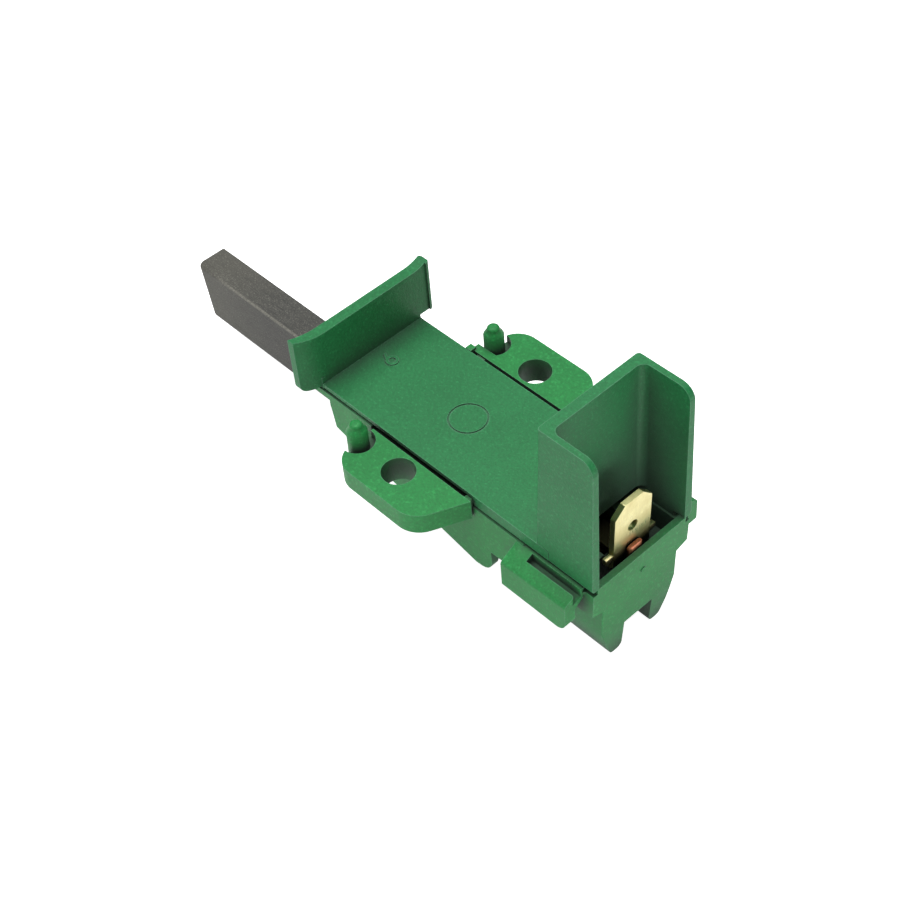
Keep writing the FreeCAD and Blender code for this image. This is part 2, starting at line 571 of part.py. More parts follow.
def make_brush(doc, d):
    """The carbon block with a worn, slightly raked tip and a blind hole for its lead."""
    piece = Piece(doc, "carbon_brush")
    top, low = -d.brush_mid + d.brush_tall / 2, -d.brush_mid - d.brush_tall / 2
    rear = -d.brush_tip + d.brush_long
    side = [(-d.brush_tip, top), (rear, top), (rear, low), (-d.brush_tip + d.tip_slant, low)]
    piece.slab("block", "XZ", -d.brush_wide / 2, d.brush_wide / 2, side)
    piece.round_edges("tip_corner", d.tip_round, lambda at, run: (
        abs(run.z) > 0.9 and at.x < number(-d.brush_tip + d.tip_slant) and at.y < 0))
    piece.round_edges("tip_toe", d.tip_toe, lambda at, run: (
        abs(run.y) > 0.9 and near(at.x, -d.brush_tip + d.tip_slant)))
    piece.round_edges("long_edges", d.edge_round, lambda at, run: abs(run.x) > 0.9)
    piece.cut("lead_hole", "YZ", rear - d.lead_deep, rear + 1, circle(0, -d.brush_mid, d.lead_hole / 2))
    return piece.body


def make_terminal(doc, d):
    """The bent brass strip: a tab that leans a little, a plate under the deck, and side barbs."""
    piece = Piece(doc, "tab_terminal")
    thick, low = d.tab_thick, -d.plate_low
    front, lean = d.tab_front, d.tab_lean
    strip = [(d.plate_front, low), (front + thick, low), (front + thick + lean, d.tab_top),
             (front + lean, d.tab_top), (front, low + thick), (d.plate_front, low + thick)]
    half = d.tab_wide / 2
    piece.slab("strip", "XZ", -half, half, strip)
    trim = box(d.plate_front - 1, d.seat_front + d.seat_thick + d.plate_trim_gap, d.plate_half, half + 1)
    piece.cut("plate_sides", "XY", low - 1, low + thick + 1, trim, flipped(trim, False))
    piece.round_edges("outer_bend", thick * 0.95, lambda at, run: (
        abs(run.y) > 0.9 and near(at.z, low) and near(at.x, front + thick)))
    piece.bevel_edges("lead_in", d.tab_chamfer, lambda at, run: (
        abs(run.x) > 0.9 and near(at.z, d.tab_top)))
    piece.cut("hole", "YZ", front - 1, front + thick + lean + 1, circle(0, d.tab_hole_up, d.tab_hole / 2))
    barb = box(half - d.barb_lap, d.barb_reach, d.barb_low, d.barb_low + d.barb_tall)
    piece.slab("barbs", "YZ", front + thick - d.barb_thick, front + thick, barb, flipped(barb, True))
    return piece.body


def round_bar(radius, *edges):
    """A round solid along tangent lines and arcs, given as straight or three-point edges."""
    parts = []
    for edge in edges:
        start, run = edge.valueAt(edge.FirstParameter), edge.tangentAt(edge.FirstParameter)
        disc = Part.Face(Part.Wire(Part.Circle(start, run, radius).toShape()))
        if edge.Curve.TypeId == "Part::GeomLine":
            parts.append(disc.extrude(run * edge.Length))
        else:
            turn = edge.Length / edge.Curve.Radius
            middle = edge.Curve.Center
            axis = (start - middle).cross(run)
            parts.append(disc.revolve(middle, axis, math.degrees(turn)))
    return parts[0].multiFuse(parts[1:]) if len(parts) > 1 else parts[0]


def make_spring(doc, d):
    """The long coil spring between the brush and the seat, with a closed turn at each end.

    Each half turn is a flat semicircle, tilted by its share of the rise. Neighbouring half
    turns meet with the same direction, so the wire is smooth.
    """
    wire, radius = number(d.spring_wire), number((d.spring_wide - d.spring_wire) / 2)
    start = number(-d.brush_tip + d.brush_long + d.spring_end_gap + d.spring_wire / 2)
    end = number(d.seat_front - d.spring_end_gap - d.spring_wire / 2)
    turns = round(number(d.spring_turns))
    closed = wire * 1.08
    open_rise = (end - start - 2 * closed) / (turns - 2)
    rises = [closed] + [open_rise] * (turns - 2) + [closed]
    height, place, side, edges = number(-d.brush_mid), start, 1, []
    for rise in (share / 2 for share in rises for _ in range(2)):
        reach = (radius ** 2 + (rise / 2) ** 2) ** 0.5
        first = Vector(place, 0, height + side * radius)
        middle = Vector(place + rise / 2, side * reach, height)
        last = Vector(place + rise, 0, height - side * radius)
        edges.append(Part.Arc(first, middle, last).toShape())
        place, side = place + rise, -side
    return add_feature(doc, "brush_spring", round_bar(wire / 2, *edges))


def make_lead(doc, d):
    """The braided copper lead: straight inside the spring, then up to a flat welded end."""
    start = number(-d.brush_tip + d.brush_long - d.lead_deep * 0.8)
    height, riser, bend = number(-d.brush_mid), number(d.lead_riser), number(d.lead_bend)
    low, top = number(-d.weld_low), number(d.lead_top)
    knee = low - number(d.weld_low)
    inward = bend * (1 - 0.5 ** 0.5)
    straight = Part.LineSegment(Vector(start, 0, height), Vector(riser - bend, 0, height))
    corner = Part.Arc(Vector(riser - bend, 0, height), Vector(riser - inward, 0, height + inward),
                      Vector(riser, 0, height + bend))
    rise = Part.LineSegment(Vector(riser, 0, height + bend), Vector(riser, 0, knee))
    tube = round_bar(number(d.lead_wide / 2), straight.toShape(), corner.toShape(), rise.toShape())
    front = number(d.tab_front + d.tab_thick + d.weld_gap)
    rear = front + number(d.weld_thick)
    lean = number(d.tab_lean) * (top - low) / number(d.tab_top + d.plate_low)
    side = [(riser - 0.3, knee - 0.4), (riser + 0.5, knee - 0.4), (rear, low), (rear + lean, top),
            (front + lean, top), (front + lean / 3, low + 0.6), (riser - 0.3, low - 0.5)]
    half = number(d.weld_wide / 2)
    outline = Part.makePolygon([Vector(x, -half, z) for x, z in side + side[:1]])
    flat = Part.Face(outline).extrude(Vector(0, 2 * half, 0))
    return add_feature(doc, "shunt_lead", tube.fuse(flat).removeSplitter())


def add_feature(doc, label, shape):
    """Put a finished shape into the document under its own label."""
    feature = doc.addObject("Part::Feature", label)
    feature.Label = label
    feature.Shape = shape
    feature.Placement = FreeCAD.Placement()
    return feature


def check(doc, pieces):
    """Stop if any object failed to build or any sub-part is not one good solid."""
    for thing in doc.Objects:
        if "Invalid" in thing.State or "Error" in thing.State:
            raise RuntimeError(f"{thing.Name} failed: {thing.State}")
    for piece in pieces:
        shape = piece.Shape
        if shape.isNull() or not shape.isValid() or len(shape.Solids) != 1:
            raise RuntimeError(f"{piece.Label} is not one valid solid ({len(shape.Solids)})")


def main():
    """Build every sub-part and write one STEP file each."""
    os.makedirs("parts", exist_ok=True)
    doc = FreeCAD.newDocument("carbon_brush_holder")
    d = fill_sheet(doc)
    d.channel_inner = d.brush_wide / 2 + d.brush_gap + d.sleeve_wall + d.sleeve_gap
    d.channel_half = d.channel_inner + d.channel_wall
    d.channel_floor = d.brush_mid + d.brush_tall / 2 + d.brush_gap + d.sleeve_wall + d.sleeve_gap
    makers = (make_holder, make_cover, make_sleeve, make_brush, make_spring, make_lead, make_terminal)
    pieces = [make(doc, d) for make in makers]
    doc.recompute()
    check(doc, pieces)
    for piece in pieces:
        piece.Shape.exportStep(f"parts/{piece.Label}.step")
        bounds = piece.Shape.BoundBox
        print(f"{piece.Label}: {piece.Shape.Volume:.1f} mm3, x {bounds.XMin:.2f}..{bounds.XMax:.2f}, "
              f"y {bounds.YMin:.2f}..{bounds.YMax:.2f}, z {bounds.ZMin:.2f}..{bounds.ZMax:.2f}")


main()
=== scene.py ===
"""Looks of a carbon brush in its moulded holder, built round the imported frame.

Lengths here are millimetres in the frame's own axes (+X from the brush tip to the terminal,
+Z up) and become metres only where a mesh, a light or a camera is made.
"""

import logging
import math
from dataclasses import dataclass
from enum import Enum
from typing import Any, Callable, Sequence

import bmesh
import bpy
from bmesh.types import BMEdge, BMesh
from bpy.types import ID, Material, Mesh, Node, NodeSocket, NodeTree, Object
from mathutils import Matrix, Vector

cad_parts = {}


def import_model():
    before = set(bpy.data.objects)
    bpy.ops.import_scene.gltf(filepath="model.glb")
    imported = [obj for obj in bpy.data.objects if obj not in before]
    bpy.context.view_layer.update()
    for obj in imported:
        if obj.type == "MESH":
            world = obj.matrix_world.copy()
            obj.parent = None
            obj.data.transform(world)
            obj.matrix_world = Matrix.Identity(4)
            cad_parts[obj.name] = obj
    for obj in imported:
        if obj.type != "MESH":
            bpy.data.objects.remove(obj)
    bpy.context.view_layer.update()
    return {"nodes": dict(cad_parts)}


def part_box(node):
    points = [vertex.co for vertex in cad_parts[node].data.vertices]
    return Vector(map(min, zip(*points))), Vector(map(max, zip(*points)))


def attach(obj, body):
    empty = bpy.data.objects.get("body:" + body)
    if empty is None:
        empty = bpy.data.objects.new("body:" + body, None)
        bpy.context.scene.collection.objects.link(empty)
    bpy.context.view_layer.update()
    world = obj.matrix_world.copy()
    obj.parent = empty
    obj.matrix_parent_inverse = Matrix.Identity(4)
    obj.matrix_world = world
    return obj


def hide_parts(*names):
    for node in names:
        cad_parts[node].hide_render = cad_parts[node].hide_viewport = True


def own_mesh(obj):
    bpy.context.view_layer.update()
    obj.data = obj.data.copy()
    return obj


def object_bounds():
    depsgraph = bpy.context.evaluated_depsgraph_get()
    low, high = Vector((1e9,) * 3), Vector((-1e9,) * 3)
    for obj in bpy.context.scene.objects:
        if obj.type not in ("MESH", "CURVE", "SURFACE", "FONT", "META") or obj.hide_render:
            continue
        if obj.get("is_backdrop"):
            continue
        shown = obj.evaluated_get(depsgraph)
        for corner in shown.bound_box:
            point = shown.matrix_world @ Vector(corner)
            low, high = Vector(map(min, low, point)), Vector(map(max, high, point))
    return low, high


LOG = logging.getLogger("brush_holder")
MM = 0.001
PHOTO_PIXELS = 900
SENSOR_MM = 36.0
MERGE_REACH = 0.002
FLAT_DEGREES = 0.4
WHITE = (1.0, 1.0, 1.0)

Colour = tuple[float, float, float]
Point = tuple[float, float, float]


class Body(Enum):
    """The rigid bodies of the frame."""

    HOLDER = "holder"
    BRUSH = "brush"


class Slot(Enum):
    """The record's material slots."""

    HOLDER = "holder_green"
    COVER = "cover_green"
    CARBON = "carbon"
    BRASS = "brass"
    SPRING = "spring_steel"
    COPPER = "copper"


def rgba(colour: Colour) -> tuple[float, float, float, float]:
    """Give a linear colour with full alpha."""
    return (*colour, 1.0)


def toned(colour: Colour, share: float, lift: float = 0.0) -> Colour:
    """Give a darker or lighter tone of a colour, held to 1."""
    red, green, blue = (min(1.0, share * level + lift) for level in colour)
    return red, green, blue


@dataclass
class Graph:
    """A small helper that places and joins nodes in one tree.

    Attributes:
        tree: The node tree that is being built.
    """

    tree: NodeTree

    def add(self, kind: str, **values: Any) -> Node:
        """Place a node and set its properties and inputs.

        Args:
            kind: The node's type name.
            **values: Properties by their own name. An input is written as in_ and its
                number or its name with underscores for spaces; a socket is linked to it.

        Returns:
            The new node.
        """
        node = self.tree.nodes.new(kind)
        inputs = {}
        for name, value in values.items():
            if name.startswith("in_"):
                inputs[name[3:]] = value
            else:
                setattr(node, name, value)
        for name, value in inputs.items():
            socket = self.socket(node, name)
            if isinstance(value, NodeSocket):
                self.link(value, socket)
            else:
                socket.default_value = value
        return node

    @staticmethod
    def socket(node: Node, name: str) -> NodeSocket:
        """Find an enabled input of a node.

        Args:
            node: The node.
            name: The input's number, or its name with underscores for spaces.

        Returns:
            The input.
        """
        if name.isdigit():
            return node.inputs[int(name)]
        wanted = name.replace("_", " ").lower()
        for socket in node.inputs:
            if socket.enabled and socket.name.lower() == wanted:
                return socket
        raise KeyError(f"{node.bl_idname} has no input {name}")

    def link(self, source: NodeSocket, target: NodeSocket) -> None:
        """Join two sockets."""
        self.tree.links.new(source, target)

    def math(self, operation: str, first: Any, second: Any = 0.0, clamp: bool = False) -> Any:
        """Place a maths node and give its result."""
        return self.add("ShaderNodeMath", operation=operation, use_clamp=clamp,
                        in_0=first, in_1=second).outputs[0]

    def product(self, first: Any, second: Any) -> Any:
        """Multiply two values and give the result."""
        return self.math("MULTIPLY", first, second)

    def total(self, first: Any, second: Any) -> Any:
        """Add two values and give the result."""
        return self.math("ADD", first, second)

    def blend(self, share: Any, first: Any, second: Any) -> Any:
        """Mix two colours by a share and give the result."""
        return self.add("ShaderNodeMix", data_type="RGBA", blend_type="MIX",
                        in_0=share, in_6=first, in_7=second).outputs[2]

    def lay(self, base: Any, colour: Colour, mask: Any, share: float) -> Any:
        """Lay a colour over a base where a mask shows, at a share of its strength."""
        return self.blend(self.product(mask, share), base, rgba(colour))

    def ramp(self, value: Any, low: float, high: float, start: float = 0.0, end: float = 1.0) -> Any:
        """Map a value from one range to another, clamped, and give the result."""
        return self.add("ShaderNodeMapRange", clamp=True, in_0=value, in_1=low, in_2=high,
                        in_3=start, in_4=end).outputs[0]

    def noise(self, place: Any, scale: Any, detail: float, rough: float = 0.5) -> Any:
        """Place a noise texture and give its value."""
        return self.add("ShaderNodeTexNoise", in_Vector=place, in_Scale=scale, in_Detail=detail,
                        in_Roughness=rough).outputs[0]

    def sweep(self, curve: Any, sides: int, radius: Any) -> Any:
        """Sweep a round section along a curve.

        Args:
            curve: The curve's socket.
            sides: Sides of the section.
            radius: The section's radius, in metres.

        Returns:
            The socket with the closed mesh.
        """
        section = self.add("GeometryNodeCurvePrimitiveCircle", in_Resolution=sides, in_Radius=radius)
        return self.add("GeometryNodeCurveToMesh", in_Curve=curve, in_Profile_Curve=section.outputs[0],
                        in_Fill_Caps=True).outputs[0]


@dataclass(frozen=True)
class SharedGroup:
    """A shader node group that several materials share.

    Attributes:
        name: The group's name.
        inputs: Start value of each input; None makes it a vector.
        outputs: Names of the outputs, which are numbers.
        fill: Places the nodes; it gets the graph and the sockets of the inputs and outputs.
    """

    name: str
    inputs: dict[str, float | None]
    outputs: Sequence[str]
    fill: Callable[[Graph, Any, Any], None]

    def use(self, graph: Graph, **values: Any) -> Any:
        """Place the group with a material's own values and give its outputs."""
        inputs = {f"in_{name}": value for name, value in values.items()}
        return graph.add("ShaderNodeGroup", node_tree=self.tree(), **inputs).outputs

    def tree(self) -> NodeTree:
        """Give the group's tree, made at its first use.

        Returns:
            The tree.
        """
        found = bpy.data.node_groups.get(self.name)
        if found:
            return found
        tree = bpy.data.node_groups.new(self.name, "ShaderNodeTree")
        for label, value in self.inputs.items():
            kind = "NodeSocketVector" if value is None else "NodeSocketFloat"
            socket = tree.interface.new_socket(label, in_out="INPUT", socket_type=kind)
            if value is not None:
                socket.default_value = value
        for label in self.outputs:
            tree.interface.new_socket(label, in_out="OUTPUT", socket_type="NodeSocketFloat")
        graph = Graph(tree)
        self.fill(graph, graph.add("NodeGroupInput").outputs, graph.add("NodeGroupOutput").inputs)
        return tree


def fill_edge_wear(graph: Graph, source: Any, sink: Any) -> None:
    """Place a mask that is 1 along outer edges, broken up a little by noise.

    Args:
        graph: The group's graph.
        source: The sockets of its inputs.
        sink: The sockets of its outputs.
    """
    rounded = graph.add("ShaderNodeBevel", samples=6)
    graph.link(source["Width"], rounded.inputs["Radius"])
    true_normal = graph.add("ShaderNodeNewGeometry").outputs["Normal"]
    facing = graph.add("ShaderNodeVectorMath", operation="DOT_PRODUCT",
                       in_0=rounded.outputs[0], in_1=true_normal).outputs["Value"]
    turned = graph.ramp(graph.math("SUBTRACT", 1.0, facing), 0.01, 0.16)
    broken = graph.ramp(graph.noise(source["Place"], source["Break Scale"], 4.0), 0.36, 0.62)
    kept = graph.total(graph.product(broken, source["Break"]),
                       graph.math("SUBTRACT", 1.0, source["Break"]))
    graph.link(graph.math("MULTIPLY", turned, kept, True), sink["Mask"])


def fill_fine_grain(graph: Graph, source: Any, sink: Any) -> None:
    """Place a spark-eroded grain: a height for bump and a speckle for colour and gloss.

    Args:
        graph: The group's graph.
        source: The sockets of its inputs.
        sink: The sockets of its outputs.
    """
    place, scale = source["Place"], source["Scale"]
    cells = graph.add("ShaderNodeTexVoronoi", in_Vector=place, in_Scale=graph.product(scale, 1.35))
    height = graph.total(graph.noise(place, scale, 3.0, 0.62),
                         graph.product(cells.outputs["Distance"], 0.35))
    graph.link(height, sink["Height"])
    speckle = graph.noise(place, graph.product(scale, 0.8), 2.0)
    graph.link(graph.ramp(speckle, 0.56, 0.72), sink["Speckle"])


def fill_cloudiness(graph: Graph, source: Any, sink: Any) -> None:
    """Place a slow, soft variation over a few millimetres, from 0 to 1."""
    noise = graph.noise(source["Place"], source["Scale"], 3.0, 0.55)
    graph.link(graph.ramp(noise, 0.32, 0.68), sink["Cloud"])


def fill_occlusion_shade(graph: Graph, source: Any, sink: Any) -> None:
    """Place a mask for painted shade and painted haze: 1 deep inside pockets and narrow gaps, where little
    light gets in.
    """
    open_share = graph.add("ShaderNodeAmbientOcclusion", samples=8, in_Distance=source["Reach"])
    graph.link(graph.ramp(open_share.outputs["AO"], 0.74, 0.16), sink["Mask"])


def fill_hairlines(graph: Graph, source: Any, sink: Any) -> None:
    """Place fine lines along one direction, as drawing, rolling or rubbing leaves them.

    Args:
        graph: The group's graph.
        source: The sockets of its inputs.
        sink: The sockets of its outputs.
    """
    stretched = graph.add("ShaderNodeVectorMath", operation="MULTIPLY",
                          in_0=source["Place"], in_1=source["Stretch"])
    noise = graph.noise(stretched.outputs[0], 1.0, 5.0, 0.7)
    graph.link(graph.ramp(noise, 0.35, 0.7), sink["Lines"])


EDGE_WEAR = SharedGroup("edge_wear", {"Place": None, "Width": 0.0002, "Break": 0.5, "Break Scale": 1.2},
                        ("Mask",), fill_edge_wear)
FINE_GRAIN = SharedGroup("fine_grain", {"Place": None, "Scale": 4.0}, ("Height", "Speckle"), fill_fine_grain)
CLOUDINESS = SharedGroup("cloudiness", {"Place": None, "Scale": 0.2}, ("Cloud",), fill_cloudiness)
# Occlusion mask that the finishes use to paint shade in pockets and haze on shaded faces.
OCCLUSION_SHADE = SharedGroup("occlusion_shade", {"Reach": 0.006}, ("Mask",), fill_occlusion_shade)
HAIRLINES = SharedGroup("hairlines", {"Place": None, "Stretch": None}, ("Lines",), fill_hairlines)


@dataclass(frozen=True)
class Masks:
    """What every finish draws on.

    Attributes:
        place: The place on the object in millimetres.
        relief: The height of the fine grain.
        speckle: The speckles of the grain.
        cloud: Slow variation.
        wear: Rubbed edges.
    """

    place: Any
    relief: Any
    speckle: Any
    cloud: Any
    wear: Any


@dataclass(frozen=True, kw_only=True)
class Finish:
    """A finish of the real part, made as one material.

    Attributes:
        name: The material's name.
        colour: Its body colour.
        grain: Grains per millimetre.
        cloud: Slow changes of colour per millimetre.
        edge_width: Width of a rubbed edge.
        edge_break: How broken a rubbed edge is, and how finely.
        depth: Depth of the relief.
        bump: How strongly the relief catches the light.
        specular: How strongly the surface mirrors.
        metallic: 1 for bare metal, else 0.
    """

    name: str
    colour: Colour
    grain: float
    cloud: float
    edge_width: float
    edge_break: tuple[float, float]
    depth: float
    bump: float
    specular: float = 0.5
    metallic: float = 0.0

    def material(self) -> Material:
        """Build the material.

        Returns:
            The material.
        """
        material = bpy.data.materials.new(self.name)
        material.use_nodes = True
        material.node_tree.nodes.clear()
        graph = Graph(material.node_tree)
        coordinates = graph.add("ShaderNodeTexCoord").outputs["Object"]
        place = graph.add("ShaderNodeVectorMath", operation="SCALE", in_0=coordinates,
                          in_Scale=1 / MM).outputs[0]
        grain = FINE_GRAIN.use(graph, Place=place, Scale=self.grain)
        cloud = CLOUDINESS.use(graph, Place=place, Scale=self.cloud)[0]
        wear = EDGE_WEAR.use(graph, Place=place, Width=self.edge_width * MM,
                             Break=self.edge_break[0], Break_Scale=self.edge_break[1])[0]
        masks = Masks(place, grain["Height"], grain["Speckle"], cloud, wear)
        base, rough, height = self.dress(graph, masks)
        bump = graph.add("ShaderNodeBump", in_Height=height, in_Strength=self.bump,
                         in_Distance=self.depth * MM)
        shader = graph.add("ShaderNodeBsdfPrincipled", in_Base_Color=base, in_Roughness=rough,
                           in_Normal=bump.outputs[0], in_Specular_IOR_Level=self.specular,
                           in_Metallic=self.metallic)
        graph.add("ShaderNodeOutputMaterial", in_Surface=shader.outputs[0])
        return material

    def dress(self, graph: Graph, masks: Masks) -> tuple[Any, Any, Any]:
        """Give the colour, the roughness and the height of the finish's relief."""
        raise NotImplementedError


@dataclass(frozen=True, kw_only=True)
class MouldedPlastic(Finish):
    """Satin moulded plastic with a fine grain and lighter rubbed edges.

    Attributes:
        edge: The colour of a rubbed edge.
        roughness: How matt the surface is.
        dust_and_haze: The colour of a painted haze that lightens faces in shade.
        haze_reach: How far off the walls of a shaded place may stand for the painted haze.
        shade_colour: The colour of painted shade deep inside pockets.
        shade_reach: How far off the walls of a pocket may stand for the painted shade.
        shade_strength: How fully the painted haze and the painted shade cover the plastic.
    """

    edge: Colour
    grain: float = 3.0
    cloud: float = 0.16
    edge_width: float = 0.22
    edge_break: tuple[float, float] = (0.35, 0.9)
    depth: float = 0.03
    bump: float = 0.7
    specular: float = 0.35
    roughness: float = 0.45
    dust_and_haze: Colour = (0.12, 0.20, 0.15)
    haze_reach: float = 18.0
    shade_colour: Colour = (0.038, 0.050, 0.041)
    shade_reach: float = 7.0
    shade_strength: float = 0.9

    def dress(self, graph: Graph, masks: Masks) -> tuple[Any, Any, Any]:
        """Lay the colours of body, grain and rubbed edges, then a painted haze on shaded faces and painted
        shade in pockets.

        Args:
            graph: The material's graph.
            masks: What the finish draws on.

        Returns:
            The colour, the roughness and the height of the relief.
        """
        base = graph.blend(masks.cloud, rgba(toned(self.colour, 0.84)), rgba(self.colour))
        low = graph.ramp(masks.relief, 0.8, 0.45, 0.0, 0.7)
        base = graph.blend(low, base, rgba(toned(self.colour, 0.6)))
        base = graph.lay(base, toned(self.colour, 1.45, 0.012), masks.speckle, 0.55)
        base = graph.lay(base, self.edge, masks.wear, 0.55)
        # Painted haze lightens faces in shade, then painted shade darkens pockets; both follow the occlusion
        # mask.
        for colour, reach in ((self.dust_and_haze, self.haze_reach), (self.shade_colour, self.shade_reach)):
            shade_mask = OCCLUSION_SHADE.use(graph, Reach=reach * MM)[0]
            base = graph.lay(base, colour, shade_mask, self.shade_strength)
        rough = graph.ramp(masks.relief, 0.35, 0.85, self.roughness - 0.06, self.roughness + 0.08)
        return base, rough, masks.relief


@dataclass(frozen=True, kw_only=True)
class PressedCarbon(Finish):
    """Dull pressed carbon: open pores, pale specks, and edges rubbed light.

    Attributes:
        dust_and_haze: The colour of the specks and rubbed edges.
        tip_x: Where the worn tip is along the brush.
        ridge: Place (y, z) of the long edge that is rubbed most.
        tint: The colour that the worn end takes on.
        rubbed: How the rubbing lines stretch: large numbers are fine across that axis.
    """

    dust_and_haze: Colour
    tip_x: float
    ridge: tuple[float, float]
    tint: Colour
    grain: float = 8.0
    cloud: float = 0.3
    edge_width: float = 0.35
    edge_break: tuple[float, float] = (0.85, 1.6)
    depth: float = 0.03
    bump: float = 0.8
    rubbed: Point = (0.35, 6.0, 6.0)

    def dress(self, graph: Graph, masks: Masks) -> tuple[Any, Any, Any]:
        """Lay the colours of body, worn end, specks, rubbed lines and rubbed edges.

        Args:
            graph: The material's graph.
            masks: What the finish draws on.

        Returns:
            The colour, the roughness and the height of the relief.
        """
        lines = HAIRLINES.use(graph, Place=masks.place, Stretch=self.rubbed)[0]
        axes = graph.add("ShaderNodeSeparateXYZ", in_0=masks.place).outputs
        from_tip = graph.math("SUBTRACT", axes[0], self.tip_x)
        worn = graph.ramp(from_tip, 16.0, 4.0)
        aside, above = (graph.math("SUBTRACT", axes[i + 1], self.ridge[i]) for i in range(2))
        away = graph.math("SQRT", graph.total(graph.product(aside, aside), graph.product(above, above)))
        chips = graph.noise(masks.place, 3.6, 5.0, 0.75)
        chipped = graph.ramp(chips, 0.55, 0.66)
        near_tip = graph.product(graph.ramp(from_tip, 2.0, 5.0), graph.ramp(from_tip, 14.0, 7.0))
        dust_and_shade = graph.product(graph.product(graph.ramp(away, 2.6, 0.2), near_tip), chipped)
        line = graph.product(graph.ramp(away, 0.34, 0.2), graph.ramp(from_tip, 4.0, 8.0))
        line = graph.product(line, graph.ramp(chips, 0.36, 0.56, 0.25, 1.0))
        base = graph.blend(masks.cloud, rgba(toned(self.colour, 0.8)), rgba(self.colour))
        base = graph.lay(base, self.tint, worn, 0.6)
        for mask, share in ((masks.speckle, 0.55), (lines, 0.16), (masks.wear, 0.3), (dust_and_shade, 0.85),
                            (line, 0.6)):
            base = graph.lay(base, self.dust_and_haze, mask, share)
        return base, graph.ramp(masks.relief, 0.3, 0.9, 0.5, 0.72), masks.relief


@dataclass(frozen=True, kw_only=True)
class MetalFinish(Finish):
    """Bare metal with rolling or drawing lines and a thin tarnish.

    Attributes:
        tarnish: The colour where it has dulled.
        lines: How the lines stretch: large numbers are fine across that axis.
        tarnish_share: How much of the surface has dulled.
        roughness: How matt the bright metal is.
        shade_colour: The colour of painted shade deep inside pockets and along the shaded strip under the
            deck.
        shade_reach: How far off the walls of a pocket may stand for the painted shade.
        shaded_span: Where along X the metal is painted dark as shade under the deck.
    """

    tarnish: Colour
    lines: Point
    grain: float = 6.0
    cloud: float = 0.55
    edge_width: float = 0.12
    edge_break: tuple[float, float] = (0.4, 2.0)
    depth: float = 0.012
    bump: float = 0.35
    metallic: float = 1.0
    tarnish_share: float = 0.4
    roughness: float = 0.24
    shade_colour: Colour = (0.03, 0.028, 0.014)
    shade_reach: float = 4.0
    shaded_span: tuple[float, float] = (20.0, 27.1)

    def dress(self, graph: Graph, masks: Masks) -> tuple[Any, Any, Any]:
        """Lay the colours of bright metal, tarnish and rubbed edges, then painted shade in pockets and under
        the deck.

        Args:
            graph: The material's graph.
            masks: What the finish draws on.

        Returns:
            The colour, the roughness and the height of the relief.
        """
        lines = HAIRLINES.use(graph, Place=masks.place, Stretch=self.lines)[0]
        dulled = graph.product(masks.cloud, self.tarnish_share)
        base = graph.blend(dulled, rgba(self.colour), rgba(self.tarnish))
        base = graph.lay(base, self.tarnish, lines, 0.2)
        base = graph.lay(base, toned(self.colour, 1.12, 0.03), masks.wear, 0.7)
        # Painted shade darkens the metal in pockets, following the occlusion mask.
        shade_mask = OCCLUSION_SHADE.use(graph, Reach=self.shade_reach * MM)[0]
        base = graph.lay(base, self.shade_colour, shade_mask, 0.92)
        # Painted shade: the strip under the deck is darkened between these two places along X.
        along = graph.add("ShaderNodeSeparateXYZ", in_0=masks.place).outputs[0]
        first, last = self.shaded_span
        dust_and_shade = graph.product(graph.ramp(along, first, first + 0.5), graph.ramp(along, last, last - 0.3))
        base = graph.lay(base, self.shade_colour, dust_and_shade, 0.95)
        rough = graph.ramp(lines, 0.0, 1.0, self.roughness, self.roughness + 0.16)
        rough = graph.total(rough, graph.product(dulled, 0.18))
        return base, rough, graph.total(lines, graph.product(masks.relief, 0.4))


HOLDER_GREEN = MouldedPlastic(name="holder_green", colour=(0.027, 0.325, 0.078), edge=(0.17, 0.48, 0.27))
COVER_GREEN = MouldedPlastic(name="cover_green", colour=(0.026, 0.262, 0.083), edge=(0.20, 0.50, 0.31),
                             grain=3.3, depth=0.045)
BRASS = MetalFinish(name="rolled_brass", colour=(0.95, 0.87, 0.47), tarnish=(0.62, 0.51, 0.19),
                    lines=(1.0, 9.0, 0.6), tarnish_share=0.45)
STEEL = MetalFinish(name="drawn_wire", colour=(0.60, 0.60, 0.60), tarnish=(0.28, 0.27, 0.25),
                    lines=(4.0, 4.0, 4.0), roughness=0.28)
COPPER = MetalFinish(name="bare_copper", colour=(0.90, 0.36, 0.21), tarnish=(0.46, 0.12, 0.06),
                     lines=(5.0, 5.0, 1.0), roughness=0.32)


@dataclass
class Workshop:
    """What every maker needs: the loaded frame and the materials by slot.

    Attributes:
        nodes: The CAD nodes by name.
        finishes: One material for each slot.
    """

    nodes: dict[str, Object]
    finishes: dict[Slot, Material]

    def add_piece(self, name: str, mesh: Mesh, body: Body, slot: Slot,
                  stands_for: Sequence[str] = ()) -> Object:
        """Put a finished mesh into the scene as a piece of the object.

        Args:
            name: The piece's name.
            mesh: Its mesh, in the frame's place.
            body: The body that it moves with.
            slot: The material slot of its finish.
            stands_for: The CAD nodes that it replaces.

        Returns:
            The new object.
        """
        mesh.name = name
        mesh.materials.clear()
        mesh.materials.append(self.finishes[slot])
        piece = placed(name, mesh)
        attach(piece, body.value)
        if stands_for:
            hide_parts(*stands_for)
        LOG.info("%s: %d faces, rides on %s", name, len(mesh.polygons), body.value)
        return piece


def placed(name: str, data: ID) -> Object:
    """Put a new object into the scene.

    Args:
        name: The object's name.
        data: Its mesh, light, camera or curve.

    Returns:
        The object.
    """
    thing = bpy.data.objects.new(name, data)
    bpy.context.collection.objects.link(thing)
    return thing


